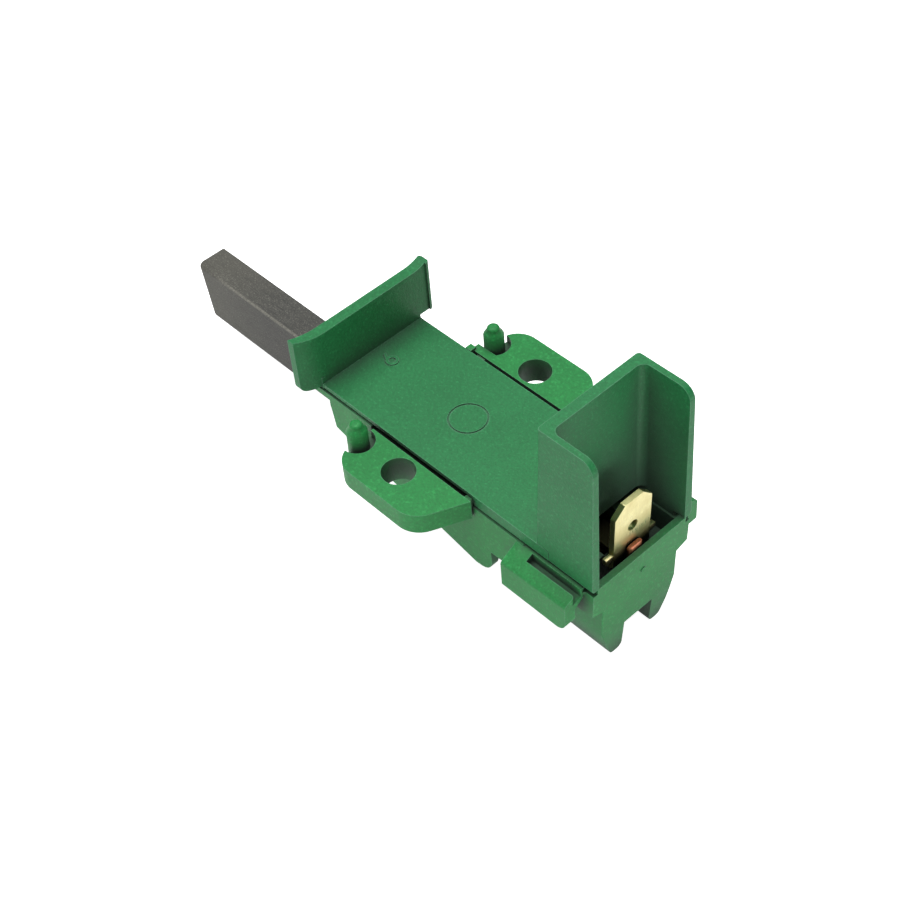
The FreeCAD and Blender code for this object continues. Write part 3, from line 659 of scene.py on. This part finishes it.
def baked(helper: Object) -> Mesh:
    """Work the modifiers of a helper into a plain mesh and take the helper out of the scene.

    Args:
        helper: The helper object.

    Returns:
        The plain mesh.
    """
    graph = bpy.context.evaluated_depsgraph_get()
    mesh = bpy.data.meshes.new_from_object(helper.evaluated_get(graph), depsgraph=graph)
    bpy.data.objects.remove(helper, do_unlink=True)
    return mesh


@dataclass(frozen=True)
class SoftRegion:
    """A part of a piece whose edges are rounded more than the rest.

    Attributes:
        low: Lowest corner of the region.
        high: Highest corner of the region.
        width: Width of the rounding there.
    """

    low: Point
    high: Point
    width: float

    def holds(self, edge: BMEdge) -> bool:
        """Whether an edge lies in the region."""
        ends = (vert.co / MM for vert in edge.verts)
        return all(self.low[i] <= end[i] <= self.high[i] for end in ends for i in range(3))


@dataclass
class EasedCopy:
    """A copy of a CAD node with its sharp edges really rounded.

    Attributes:
        node: The CAD node's name.
        width: Width of the rounding.
        steps: Faces across the rounding.
        sharp: Edges that turn more than this many degrees are rounded.
        crisp: Edges that still turn more than this are shaded as hard edges.
        spare: An edge is rounded where its neighbours are this many widths long.
        corner_share: How far a rounded corner spreads, as a share of the width.
        soft: Regions with a wider rounding.
    """

    node: str
    width: float
    steps: int = 2
    sharp: float = 28.0
    crisp: float = 50.0
    spare: float = 1.7
    corner_share: float = 0.1
    soft: Sequence[SoftRegion] = ()

    def mesh(self, workshop: Workshop) -> Mesh:
        """Build the rounded mesh.

        Args:
            workshop: Holds the CAD nodes.

        Returns:
            A new mesh in the frame's place.
        """
        shape = bmesh.new()
        shape.from_mesh(workshop.nodes[self.node].data)
        bmesh.ops.remove_doubles(shape, verts=shape.verts, dist=MERGE_REACH * MM)
        bmesh.ops.dissolve_degenerate(shape, edges=shape.edges, dist=MERGE_REACH * MM)
        bmesh.ops.dissolve_limit(shape, angle_limit=math.radians(FLAT_DEGREES), verts=shape.verts,
                                 edges=shape.edges, use_dissolve_boundaries=False)
        done = shape.edges.layers.int.new("eased")
        for region in self.soft:
            self.round_edges(shape, region.width, region.holds, done)
        self.round_edges(shape, self.width, lambda edge: True, done)
        for face in shape.faces:
            face.smooth = True
        for edge in shape.edges:
            edge.smooth = edge.calc_face_angle(0.0) < math.radians(self.crisp)
        merged = bpy.data.meshes.new(f"{self.node}_merged")
        shape.to_mesh(merged)
        shape.free()
        helper = placed(f"{self.node}_helper", merged)
        even = helper.modifiers.new("even", "WEIGHTED_NORMAL")
        even.weight = 100
        even.keep_sharp = True
        return baked(helper)

    def round_edges(self, shape: BMesh, width: float, chosen: Callable[[BMEdge], bool],
                    done: Any) -> None:
        """Round the sharp edges that have room for it.

        Args:
            shape: The merged mesh.
            width: Width of the rounding.
            chosen: Says whether an edge belongs to this round.
            done: Layer that marks the edges of earlier roundings.
        """
        picked = [edge for edge in shape.edges
                  if not edge[done] and edge.calc_face_angle(0.0) > math.radians(self.sharp)
                  and chosen(edge) and self.room(edge) > width * self.spare]
        made = bmesh.ops.bevel(shape, geom=picked, offset=width * MM, offset_type="OFFSET", affect="EDGES",
                               segments=self.steps, profile=0.5, clamp_overlap=True, miter_outer="ARC",
                               spread=width * self.corner_share * MM)
        for face in made["faces"]:
            for edge in face.edges:
                edge[done] = 1

    @staticmethod
    def room(edge: BMEdge) -> float:
        """Give the shortest edge at either end of an edge, in millimetres."""
        return min(other.calc_length() for vert in edge.verts for other in vert.link_edges) / MM


@dataclass
class Mouldings:
    """The two green mouldings, with every edge eased as a mould leaves it.

    Attributes:
        edge: Width of a plain eased edge.
        rear_face: The rear block's back, above its feet.
        toes: The back of the feet.
        lip_tails: The rear ends of the side lips.
        horn: The raised far end of the front flange.
        flange: The front flange.
        shroud_top: The rim of the shroud.
        shroud_back: The outer upright edges at the shroud's open side.
    """

    edge: float = 0.14
    rear_face: SoftRegion = SoftRegion((29.1, -9.0, -10.3), (30.1, 9.0, 0.7), 0.5)
    toes: SoftRegion = SoftRegion((28.3, -6.0, -16.0), (30.0, 6.0, -9.9), 0.55)
    lip_tails: SoftRegion = SoftRegion((27.9, -12.0, -5.0), (28.6, 12.0, 1.5), 0.4)
    horn: SoftRegion = SoftRegion((-22.0, 8.4, 4.6), (-17.0, 12.0, 13.0), 0.45)
    flange: SoftRegion = SoftRegion((-22.0, -12.0, 4.6), (-17.0, 12.0, 13.0), 0.3)
    shroud_top: SoftRegion = SoftRegion((20.0, -9.0, 22.9), (30.0, 9.0, 23.5), 0.26)
    shroud_back: tuple[SoftRegion, ...] = (SoftRegion((29.8, -9.0, 1.4), (30.1, -8.2, 23.5), 0.42),
                                           SoftRegion((29.8, 8.2, 1.4), (30.1, 9.0, 23.5), 0.42))

    def build(self, workshop: Workshop) -> None:
        """Make both mouldings.

        Args:
            workshop: Holds the nodes and finishes.
        """
        for name, node, slot, soft in (
                ("holder_moulding", "holder_base", Slot.HOLDER, (self.rear_face, self.toes, self.lip_tails)),
                ("cover_moulding", "terminal_cover", Slot.COVER,
                 (self.horn, self.flange, self.shroud_top, *self.shroud_back))):
            mesh = EasedCopy(node, self.edge, soft=soft).mesh(workshop)
            workshop.add_piece(name, mesh, Body.HOLDER, slot, [node])


@dataclass
class CarbonBlock:
    """The carbon brush itself.

    Attributes:
        edge: Width of a rubbed edge.
    """

    edge: float = 0.18

    def build(self, workshop: Workshop) -> None:
        """Make the block."""
        mesh = EasedCopy("carbon_brush", self.edge, steps=3).mesh(workshop)
        workshop.add_piece("brush_block", mesh, Body.BRUSH, Slot.CARBON, ["carbon_brush"])


@dataclass
class SheetMetal:
    """The folded guide tube and the bent tab, with the eased edges of stamped strip.

    Attributes:
        edge: Width of an eased edge.
    """

    edge: float = 0.09

    def build(self, workshop: Workshop) -> None:
        """Make the tube and the tab.

        Args:
            workshop: Holds the nodes and finishes.
        """
        for name, node in (("guide_tube", "brass_sleeve"), ("tab_strip", "tab_terminal")):
            mesh = EasedCopy(node, self.edge).mesh(workshop)
            workshop.add_piece(name, mesh, Body.HOLDER, Slot.BRASS, [node])


@dataclass
class GeometryTree:
    """A geometry node tree with named inputs, run once on a helper object.

    Attributes:
        name: The tree's name.
        inputs: Name and value of each length or count that the tree takes.
    """

    name: str
    inputs: dict[str, float]

    def start(self) -> tuple[Graph, Node, Node]:
        """Make the tree with its sockets.

        Returns:
            The tree's graph, its input node and its output node.
        """
        tree = bpy.data.node_groups.new(self.name, "GeometryNodeTree")
        tree.interface.new_socket("Geometry", in_out="INPUT", socket_type="NodeSocketGeometry")
        for label, value in self.inputs.items():
            kind = "NodeSocketInt" if isinstance(value, int) else "NodeSocketFloat"
            tree.interface.new_socket(label, in_out="INPUT", socket_type=kind).default_value = value
        tree.interface.new_socket("Geometry", in_out="OUTPUT", socket_type="NodeSocketGeometry")
        graph = Graph(tree)
        return graph, graph.add("NodeGroupInput"), graph.add("NodeGroupOutput")

    def run(self, graph: Graph, sink: Node, geometry: Any, material: Material, start: ID) -> Mesh:
        """Close the tree, shaded smooth, and run it on a helper.

        Args:
            graph: The tree's graph.
            sink: The tree's output node.
            geometry: The socket with the geometry.
            material: The material that the tree sets.
            start: The mesh or curve that the helper starts from.

        Returns:
            The plain mesh.
        """
        smooth = graph.add("GeometryNodeSetShadeSmooth", in_Geometry=geometry)
        real = graph.add("GeometryNodeRealizeInstances", in_Geometry=smooth.outputs[0])
        dressed = graph.add("GeometryNodeSetMaterial", in_Geometry=real.outputs[0], in_Material=material)
        graph.link(dressed.outputs[0], sink.inputs["Geometry"])
        helper = placed(f"{self.name}_helper", start)
        helper.modifiers.new(self.name, "NODES").node_group = graph.tree
        return baked(helper)


@dataclass
class CoilSpring:
    """The long coil spring behind the brush, with a closed turn at each end.

    Attributes:
        wire: Wire thickness.
        across: Outer width of the coil.
        turns: Number of turns, the two closed ones among them.
        axis_height: Height of the coil's axis.
        closed_rise: Rise of a closed turn, in wire thicknesses.
        turn_points: Points along one turn.
        sides: Sides of the wire.
    """

    wire: float = 0.55
    across: float = 4.4
    turns: int = 15
    axis_height: float = -6.0
    closed_rise: float = 1.1
    turn_points: float = 28.0
    sides: int = 12

    def build(self, workshop: Workshop) -> None:
        """Make the spring where the CAD spring is.

        Args:
            workshop: Holds the nodes and finishes.
        """
        low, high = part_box("brush_spring")
        front = low.x / MM + self.wire / 2
        rise = (high.x - low.x) / MM - self.wire
        tree = GeometryTree("coil_spring", {
            "Turns": self.turns, "Radius": (self.across - self.wire) / 2 * MM, "Wire": self.wire / 2 * MM,
            "Front": front * MM, "Rise": rise * MM, "Closed Rise": self.wire * self.closed_rise * MM,
            "Axis Height": self.axis_height * MM})
        graph, source, sink = tree.start()
        value = source.outputs
        line = graph.add("GeometryNodeCurvePrimitiveLine")
        points = graph.add("GeometryNodeResampleCurve", in_Curve=line.outputs[0],
                           in_Count=graph.product(value["Turns"], self.turn_points))
        place = self.coil_place(graph, value)
        wound = graph.add("GeometryNodeSetPosition", in_Geometry=points.outputs[0], in_Position=place)
        coil = graph.sweep(wound.outputs[0], self.sides, value["Wire"])
        mesh = tree.run(graph, sink, coil, workshop.finishes[Slot.SPRING],
                        bpy.data.meshes.new("coil_start"))
        piece = workshop.add_piece("coil_spring", mesh, Body.HOLDER, Slot.SPRING, ["brush_spring"])
        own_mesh(piece)

    @staticmethod
    def coil_place(graph: Graph, value: Any) -> Any:
        """Give where a point of the wire's middle line lies.

        Args:
            graph: The tree's graph.
            value: The tree's inputs.

        Returns:
            The socket with the place.
        """
        share = graph.add("GeometryNodeSplineParameter").outputs["Factor"]
        first_end = graph.math("DIVIDE", 1.0, value["Turns"])
        last_start = graph.math("SUBTRACT", 1.0, first_end)
        closed = value["Closed Rise"]
        open_rise = graph.math("SUBTRACT", value["Rise"], graph.product(closed, 2.0))
        along = value["Front"]
        for start, end, rise in ((0.0, first_end, closed), (first_end, last_start, open_rise),
                                 (last_start, 1.0, closed)):
            along = graph.total(along, graph.product(graph.ramp(share, start, end), rise))
        turned = graph.product(graph.product(share, value["Turns"]), math.tau)
        side = graph.product(graph.math("SINE", turned), value["Radius"])
        up = graph.total(graph.product(graph.math("COSINE", turned), value["Radius"]), value["Axis Height"])
        return graph.add("ShaderNodeCombineXYZ", in_0=along, in_1=side, in_2=up).outputs[0]


@dataclass(frozen=True)
class WeldSection:
    """One level section across the welded end of the lead.

    Attributes:
        height: Its height.
        middle: Where its middle is along X.
        half_wide: Half its width.
        half_deep: Half its depth.
        square: How square its outline is; 2 is an ellipse.
    """

    height: float
    middle: float
    half_wide: float
    half_deep: float
    square: float

    def outline(self, sides: int) -> list[Vector]:
        """Give the points round the section.

        Args:
            sides: Number of points.

        Returns:
            The points, in metres.
        """
        points = []
        for step in range(sides):
            turn = math.tau * step / sides
            across, deep = (math.copysign(abs(part) ** (2 / self.square), part)
                            for part in (math.cos(turn), math.sin(turn)))
            spot = Vector((self.middle + deep * self.half_deep, across * self.half_wide, self.height))
            points.append(spot * MM)
        return points


@dataclass
class BraidedLead:
    """The braided copper lead inside the spring, and its flattened welded end.

    Attributes:
        across: Width of the braid.
        strand: Thickness of one strand.
        strands: Strands in each winding direction.
        lay: Length of one full turn of a strand.
        axis_height: Height of the straight run.
        riser: Where the lead turns up, along X.
        bend: Radius of that turn.
        knee: Height where the flattened end begins.
        weave: How far a strand rises and falls at a crossing, in strand thicknesses.
        step: Distance between the points of a strand.
        bend_steps: Straight pieces round the turn.
        core_sides: Sides of the core that fills the gaps.
        strand_sides: Sides of a strand.
        weld_sides: Sides of the welded end.
        weld_crisp: Edges of the weld that turn more than this are shaded hard.
    """

    across: float = 1.25
    strand: float = 0.15
    strands: int = 8
    lay: float = 3.4
    axis_height: float = -6.0
    riser: float = 27.6
    bend: float = 1.45
    knee: float = -2.2
    weave: float = 0.45
    step: float = 0.22
    bend_steps: int = 8
    core_sides: int = 16
    strand_sides: int = 6
    weld_sides: int = 32
    weld_crisp: float = 40.0

    def build(self, workshop: Workshop) -> None:
        """Make the braid and the welded end.

        Args:
            workshop: Holds the nodes and finishes.
        """
        low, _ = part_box("shunt_lead")
        start = low.x / MM
        split = self.riser - self.bend
        run = [(start, 0.0, self.axis_height), (split, 0.0, self.axis_height)]
        mesh = self.braid(workshop, "lead_run", run)
        piece = workshop.add_piece("lead_braid", mesh, Body.HOLDER, Slot.COPPER, ["shunt_lead"])
        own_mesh(piece)
        turns = (math.pi / 2 * step / self.bend_steps for step in range(self.bend_steps + 1))
        corner = [(split + self.bend * math.sin(turn), 0.0,
                   self.axis_height + self.bend * (1 - math.cos(turn))) for turn in turns]
        riser = self.braid(workshop, "lead_riser", [*corner, (self.riser, 0.0, self.knee)])
        workshop.add_piece("lead_riser", riser, Body.HOLDER, Slot.COPPER)
        workshop.add_piece("lead_weld", self.welded_end(), Body.HOLDER, Slot.COPPER)

    def braid(self, workshop: Workshop, name: str, route: Sequence[Point]) -> Mesh:
        """Wind strands both ways round a route.

        Args:
            workshop: Holds the copper.
            name: The tree's name.
            route: The points of the lead's middle line.

        Returns:
            The mesh of all strands and a core that fills the gaps.
        """
        length = sum((Vector(b) - Vector(a)).length for a, b in zip(route, route[1:]))
        tree = GeometryTree(name, {
            "Radius": (self.across - self.strand * 2) / 2 * MM, "Strand": self.strand / 2 * MM,
            "Strands": self.strands, "Turns": length / self.lay, "Weave": self.strand * self.weave * MM,
            "Step": self.step * MM})
        graph, source, sink = tree.start()
        value = source.outputs
        line = graph.add("GeometryNodeResampleCurve", mode="LENGTH", in_Curve=value["Geometry"],
                         in_Length=value["Step"])
        copies = graph.add("GeometryNodeDuplicateElements", domain="SPLINE", in_Geometry=line.outputs[0],
                           in_Amount=graph.product(value["Strands"], 2.0))
        offset = self.strand_offset(graph, value, copies.outputs["Duplicate Index"])
        laid = graph.add("GeometryNodeSetPosition", in_Geometry=copies.outputs[0], in_Offset=offset)
        joined = graph.add("GeometryNodeJoinGeometry")
        for path, sides, radius in ((line, self.core_sides, value["Radius"]),
                                    (laid, self.strand_sides, value["Strand"])):
            graph.link(graph.sweep(path.outputs[0], sides, radius), joined.inputs[0])
        curve = bpy.data.curves.new(f"{name}_route", "CURVE")
        curve.dimensions = "3D"
        spline = curve.splines.new("POLY")
        spline.points.add(len(route) - 1)
        for knot, spot in zip(spline.points, route):
            knot.co = (*(Vector(spot) * MM), 1.0)
        return tree.run(graph, sink, joined.outputs[0], workshop.finishes[Slot.COPPER], curve)

    def strand_offset(self, graph: Graph, value: Any, index: Any) -> Any:
        """Give how far a point of a strand lies off the lead's middle line.

        Args:
            graph: The tree's graph.
            value: The tree's inputs.
            index: The strand's number; even and odd ones wind opposite ways.

        Returns:
            The socket with the offset.
        """
        share = graph.add("GeometryNodeSplineParameter").outputs["Factor"]
        turned = graph.product(share, value["Turns"])
        hand = graph.math("SUBTRACT", graph.product(graph.math("MODULO", index, 2.0), 2.0), 1.0)
        spread = graph.math("DIVIDE", graph.math("FLOOR", graph.math("DIVIDE", index, 2.0)), value["Strands"])
        angle = graph.product(graph.total(graph.product(turned, hand), spread), math.tau)
        crossing = graph.product(turned, math.tau * self.strands / 2)
        weave = graph.product(graph.product(graph.math("SINE", crossing), hand), value["Weave"])
        reach = graph.total(value["Radius"], weave)
        normal = graph.add("GeometryNodeInputNormal").outputs[0]
        tangent = graph.add("GeometryNodeInputTangent").outputs[0]
        across = graph.add("ShaderNodeVectorMath", operation="CROSS_PRODUCT", in_0=tangent, in_1=normal)
        aside, outward = (graph.add("ShaderNodeVectorMath", operation="SCALE", in_0=axis,
                                    in_Scale=graph.product(graph.math(part, angle), reach)).outputs[0]
                          for part, axis in (("COSINE", normal), ("SINE", across.outputs[0])))
        return graph.add("ShaderNodeVectorMath", operation="ADD", in_0=aside, in_1=outward).outputs[0]

    def welded_end(self) -> Mesh:
        """Make the end of the braid, pressed flat and welded to the tab.

        Returns:
            A closed mesh that goes from a round section to a flat one.
        """
        _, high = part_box("shunt_lead")
        _, tab_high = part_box("tab_terminal")
        top, back = high.z / MM, tab_high.x / MM
        sections = (WeldSection(self.knee - 0.35, self.riser, 0.56, 0.56, 2.0),
                    WeldSection(self.knee + 0.3, self.riser + 0.25, 0.62, 0.52, 2.0),
                    WeldSection(-1.35, 28.15, 0.85, 0.40, 2.6),
                    WeldSection(-0.7, back, 1.05, 0.34, 4.0),
                    WeldSection(0.3, back + 0.04, 1.13, 0.335, 5.0),
                    WeldSection(1.4, back + 0.08, 1.14, 0.33, 5.0),
                    WeldSection(top - 0.12, back + 0.12, 1.12, 0.31, 5.0),
                    WeldSection(top, back + 0.12, 1.02, 0.22, 4.0))
        shape = bmesh.new()
        rings = [[shape.verts.new(spot) for spot in section.outline(self.weld_sides)] for section in sections]
        for lower, upper in zip(rings, rings[1:]):
            for step in range(self.weld_sides):
                after = (step + 1) % self.weld_sides
                shape.faces.new((lower[step], lower[after], upper[after], upper[step]))
        shape.faces.new(rings[0][::-1])
        shape.faces.new(rings[-1])
        bmesh.ops.recalc_face_normals(shape, faces=shape.faces)
        mesh = bpy.data.meshes.new("lead_weld")
        shape.to_mesh(mesh)
        shape.free()
        mesh.shade_smooth()
        mesh.set_sharp_from_angle(angle=math.radians(self.weld_crisp))
        return mesh


@dataclass
class PhotoCamera:
    """The camera, placed where the photograph was taken from.

    Attributes:
        azimuth: Turn of the view from +Y, in degrees.
        elevation: Height of the view above the horizon, in degrees.
        roll: Turn about the line of sight, in degrees.
        focal_pixels: Focal length in pixels of the photograph.
        place: Where the camera stands.
        clip: Nearest and farthest distance that it sees, in metres.
    """

    azimuth: float = 50.823
    elevation: float = 46.906
    roll: float = -5.627
    focal_pixels: float = 1732.73
    place: Point = (117.136, -98.953, 161.76)
    clip: tuple[float, float] = (0.01, 10.0)

    def build(self) -> None:
        """Make the camera and give it to the scene."""
        data = bpy.data.cameras.new("photo_camera")
        data.sensor_width = SENSOR_MM
        data.lens = self.focal_pixels / PHOTO_PIXELS * SENSOR_MM
        camera = placed("photo_camera", data)
        turn, rise, roll = (math.radians(a) for a in (self.azimuth, self.elevation, self.roll))
        back = Vector((math.cos(rise) * math.sin(turn), -math.cos(rise) * math.cos(turn), math.sin(rise)))
        right = Vector((math.cos(turn), math.sin(turn), 0.0))
        up = back.cross(right)
        level = right * math.cos(roll) + up * math.sin(roll)
        upright = up * math.cos(roll) - right * math.sin(roll)
        rotation = Matrix((level, upright, back)).transposed().to_4x4()
        camera.matrix_world = Matrix.Translation(Vector(self.place) * MM) @ rotation
        data.clip_start, data.clip_end = self.clip
        bpy.context.scene.camera = camera


@dataclass(frozen=True)
class Softbox:
    """One soft studio light.

    Attributes:
        name: The light's name.
        place: Where it stands.
        size: Its width and height.
        power: Its power in watts.
    """

    name: str
    place: Point
    size: tuple[float, float]
    power: float

    def build(self, target: Point) -> None:
        """Make the light and turn it to the object.

        Args:
            target: Where it points.
        """
        data = bpy.data.lights.new(self.name, "AREA")
        data.shape = "RECTANGLE"
        data.size, data.size_y = self.size[0] * MM, self.size[1] * MM
        data.energy = self.power
        light = placed(self.name, data)
        light.location = Vector(self.place) * MM
        direction = Vector(target) - Vector(self.place)
        light.rotation_mode = "QUATERNION"
        light.rotation_quaternion = direction.to_track_quat("-Z", "Y")


@dataclass
class Studio:
    """A plain pale floor and plain soft light.

    Attributes:
        floor_reach: Half the width of the floor.
        floor_shade: How pale the floor is.
        floor_glow: Glow of the floor as the camera sees it.
        mirrored_glow: Glow of the floor in glossy surfaces.
        air: Strength of the light from all round.
        target: Where the lights point.
        boxes: The lights.
    """

    floor_reach: float = 1500.0
    floor_shade: float = 0.9
    floor_glow: float = 0.95
    mirrored_glow: float = 0.4
    air: float = 0.14
    target: Point = (5.0, 0.0, 0.0)
    boxes: tuple[Softbox, ...] = (
        Softbox("top_light", (-60.0, 20.0, 420.0), (420.0, 420.0), 1.8),
        Softbox("left_light", (-140.0, -340.0, 150.0), (300.0, 300.0), 0.27),
        Softbox("rear_light", (200.0, -20.0, 5.0), (120.0, 60.0), 0.075),
    )

    def build(self) -> None:
        """Make the floor, the lights and the surrounding light."""
        low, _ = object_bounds()
        reach = self.floor_reach * MM
        mesh = bpy.data.meshes.new("studio_floor")
        sides = ((-1, -1), (1, -1), (1, 1), (-1, 1))
        mesh.from_pydata([(x * reach, y * reach, low.z) for x, y in sides], [], [(0, 1, 2, 3)])
        mesh.materials.append(self.floor_material())
        floor = placed("studio_floor", mesh)
        floor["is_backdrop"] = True
        for box in self.boxes:
            box.build(self.target)
        world = bpy.data.worlds.new("studio_air")
        world.use_nodes = True
        background = world.node_tree.nodes["Background"].inputs
        background["Color"].default_value = rgba(WHITE)
        background["Strength"].default_value = self.air
        bpy.context.scene.world = world
        bpy.context.scene.view_settings.view_transform = "Standard"

    def floor_material(self) -> Material:
        """Make a white sweep that looks overexposed, so that shadows on it stay faint.

        Returns:
            The material.
        """
        material = bpy.data.materials.new("studio_floor")
        material.use_nodes = True
        material.node_tree.nodes.clear()
        graph = Graph(material.node_tree)
        diffuse = graph.add("ShaderNodeBsdfDiffuse", in_Color=rgba((self.floor_shade,) * 3))
        path = graph.add("ShaderNodeLightPath").outputs
        seen = graph.product(path["Is Camera Ray"], self.floor_glow)
        mirrored = graph.product(path["Is Glossy Ray"], self.mirrored_glow)
        glow = graph.add("ShaderNodeEmission", in_Color=rgba(WHITE),
                         in_Strength=graph.math("MAXIMUM", seen, mirrored))
        both = graph.add("ShaderNodeAddShader", in_0=diffuse.outputs[0], in_1=glow.outputs[0])
        output = graph.add("ShaderNodeOutputMaterial")
        graph.link(both.outputs[0], output.inputs["Surface"])
        return material


def main() -> None:
    """Build the camera, the pieces and the studio."""
    logging.basicConfig(level=logging.INFO, format="%(message)s")
    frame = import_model()
    PhotoCamera().build()
    low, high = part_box("carbon_brush")
    carbon = PressedCarbon(name="pressed_carbon", colour=(0.064, 0.064, 0.059), dust_and_haze=(0.34, 0.33, 0.28),
                           tip_x=low.x / MM, ridge=(low.y / MM, high.z / MM), tint=(0.118, 0.116, 0.094))
    finishes = {Slot.HOLDER: HOLDER_GREEN.material(), Slot.COVER: COVER_GREEN.material(),
                Slot.CARBON: carbon.material(), Slot.BRASS: BRASS.material(),
                Slot.SPRING: STEEL.material(), Slot.COPPER: COPPER.material()}
    workshop = Workshop(frame["nodes"], finishes)
    for maker in (Mouldings(), CarbonBlock(), SheetMetal(), CoilSpring(), BraidedLead()):
        maker.build(workshop)
        LOG.info("%s is done", type(maker).__name__)
    Studio().build()


if __name__ == "__main__":
    main()
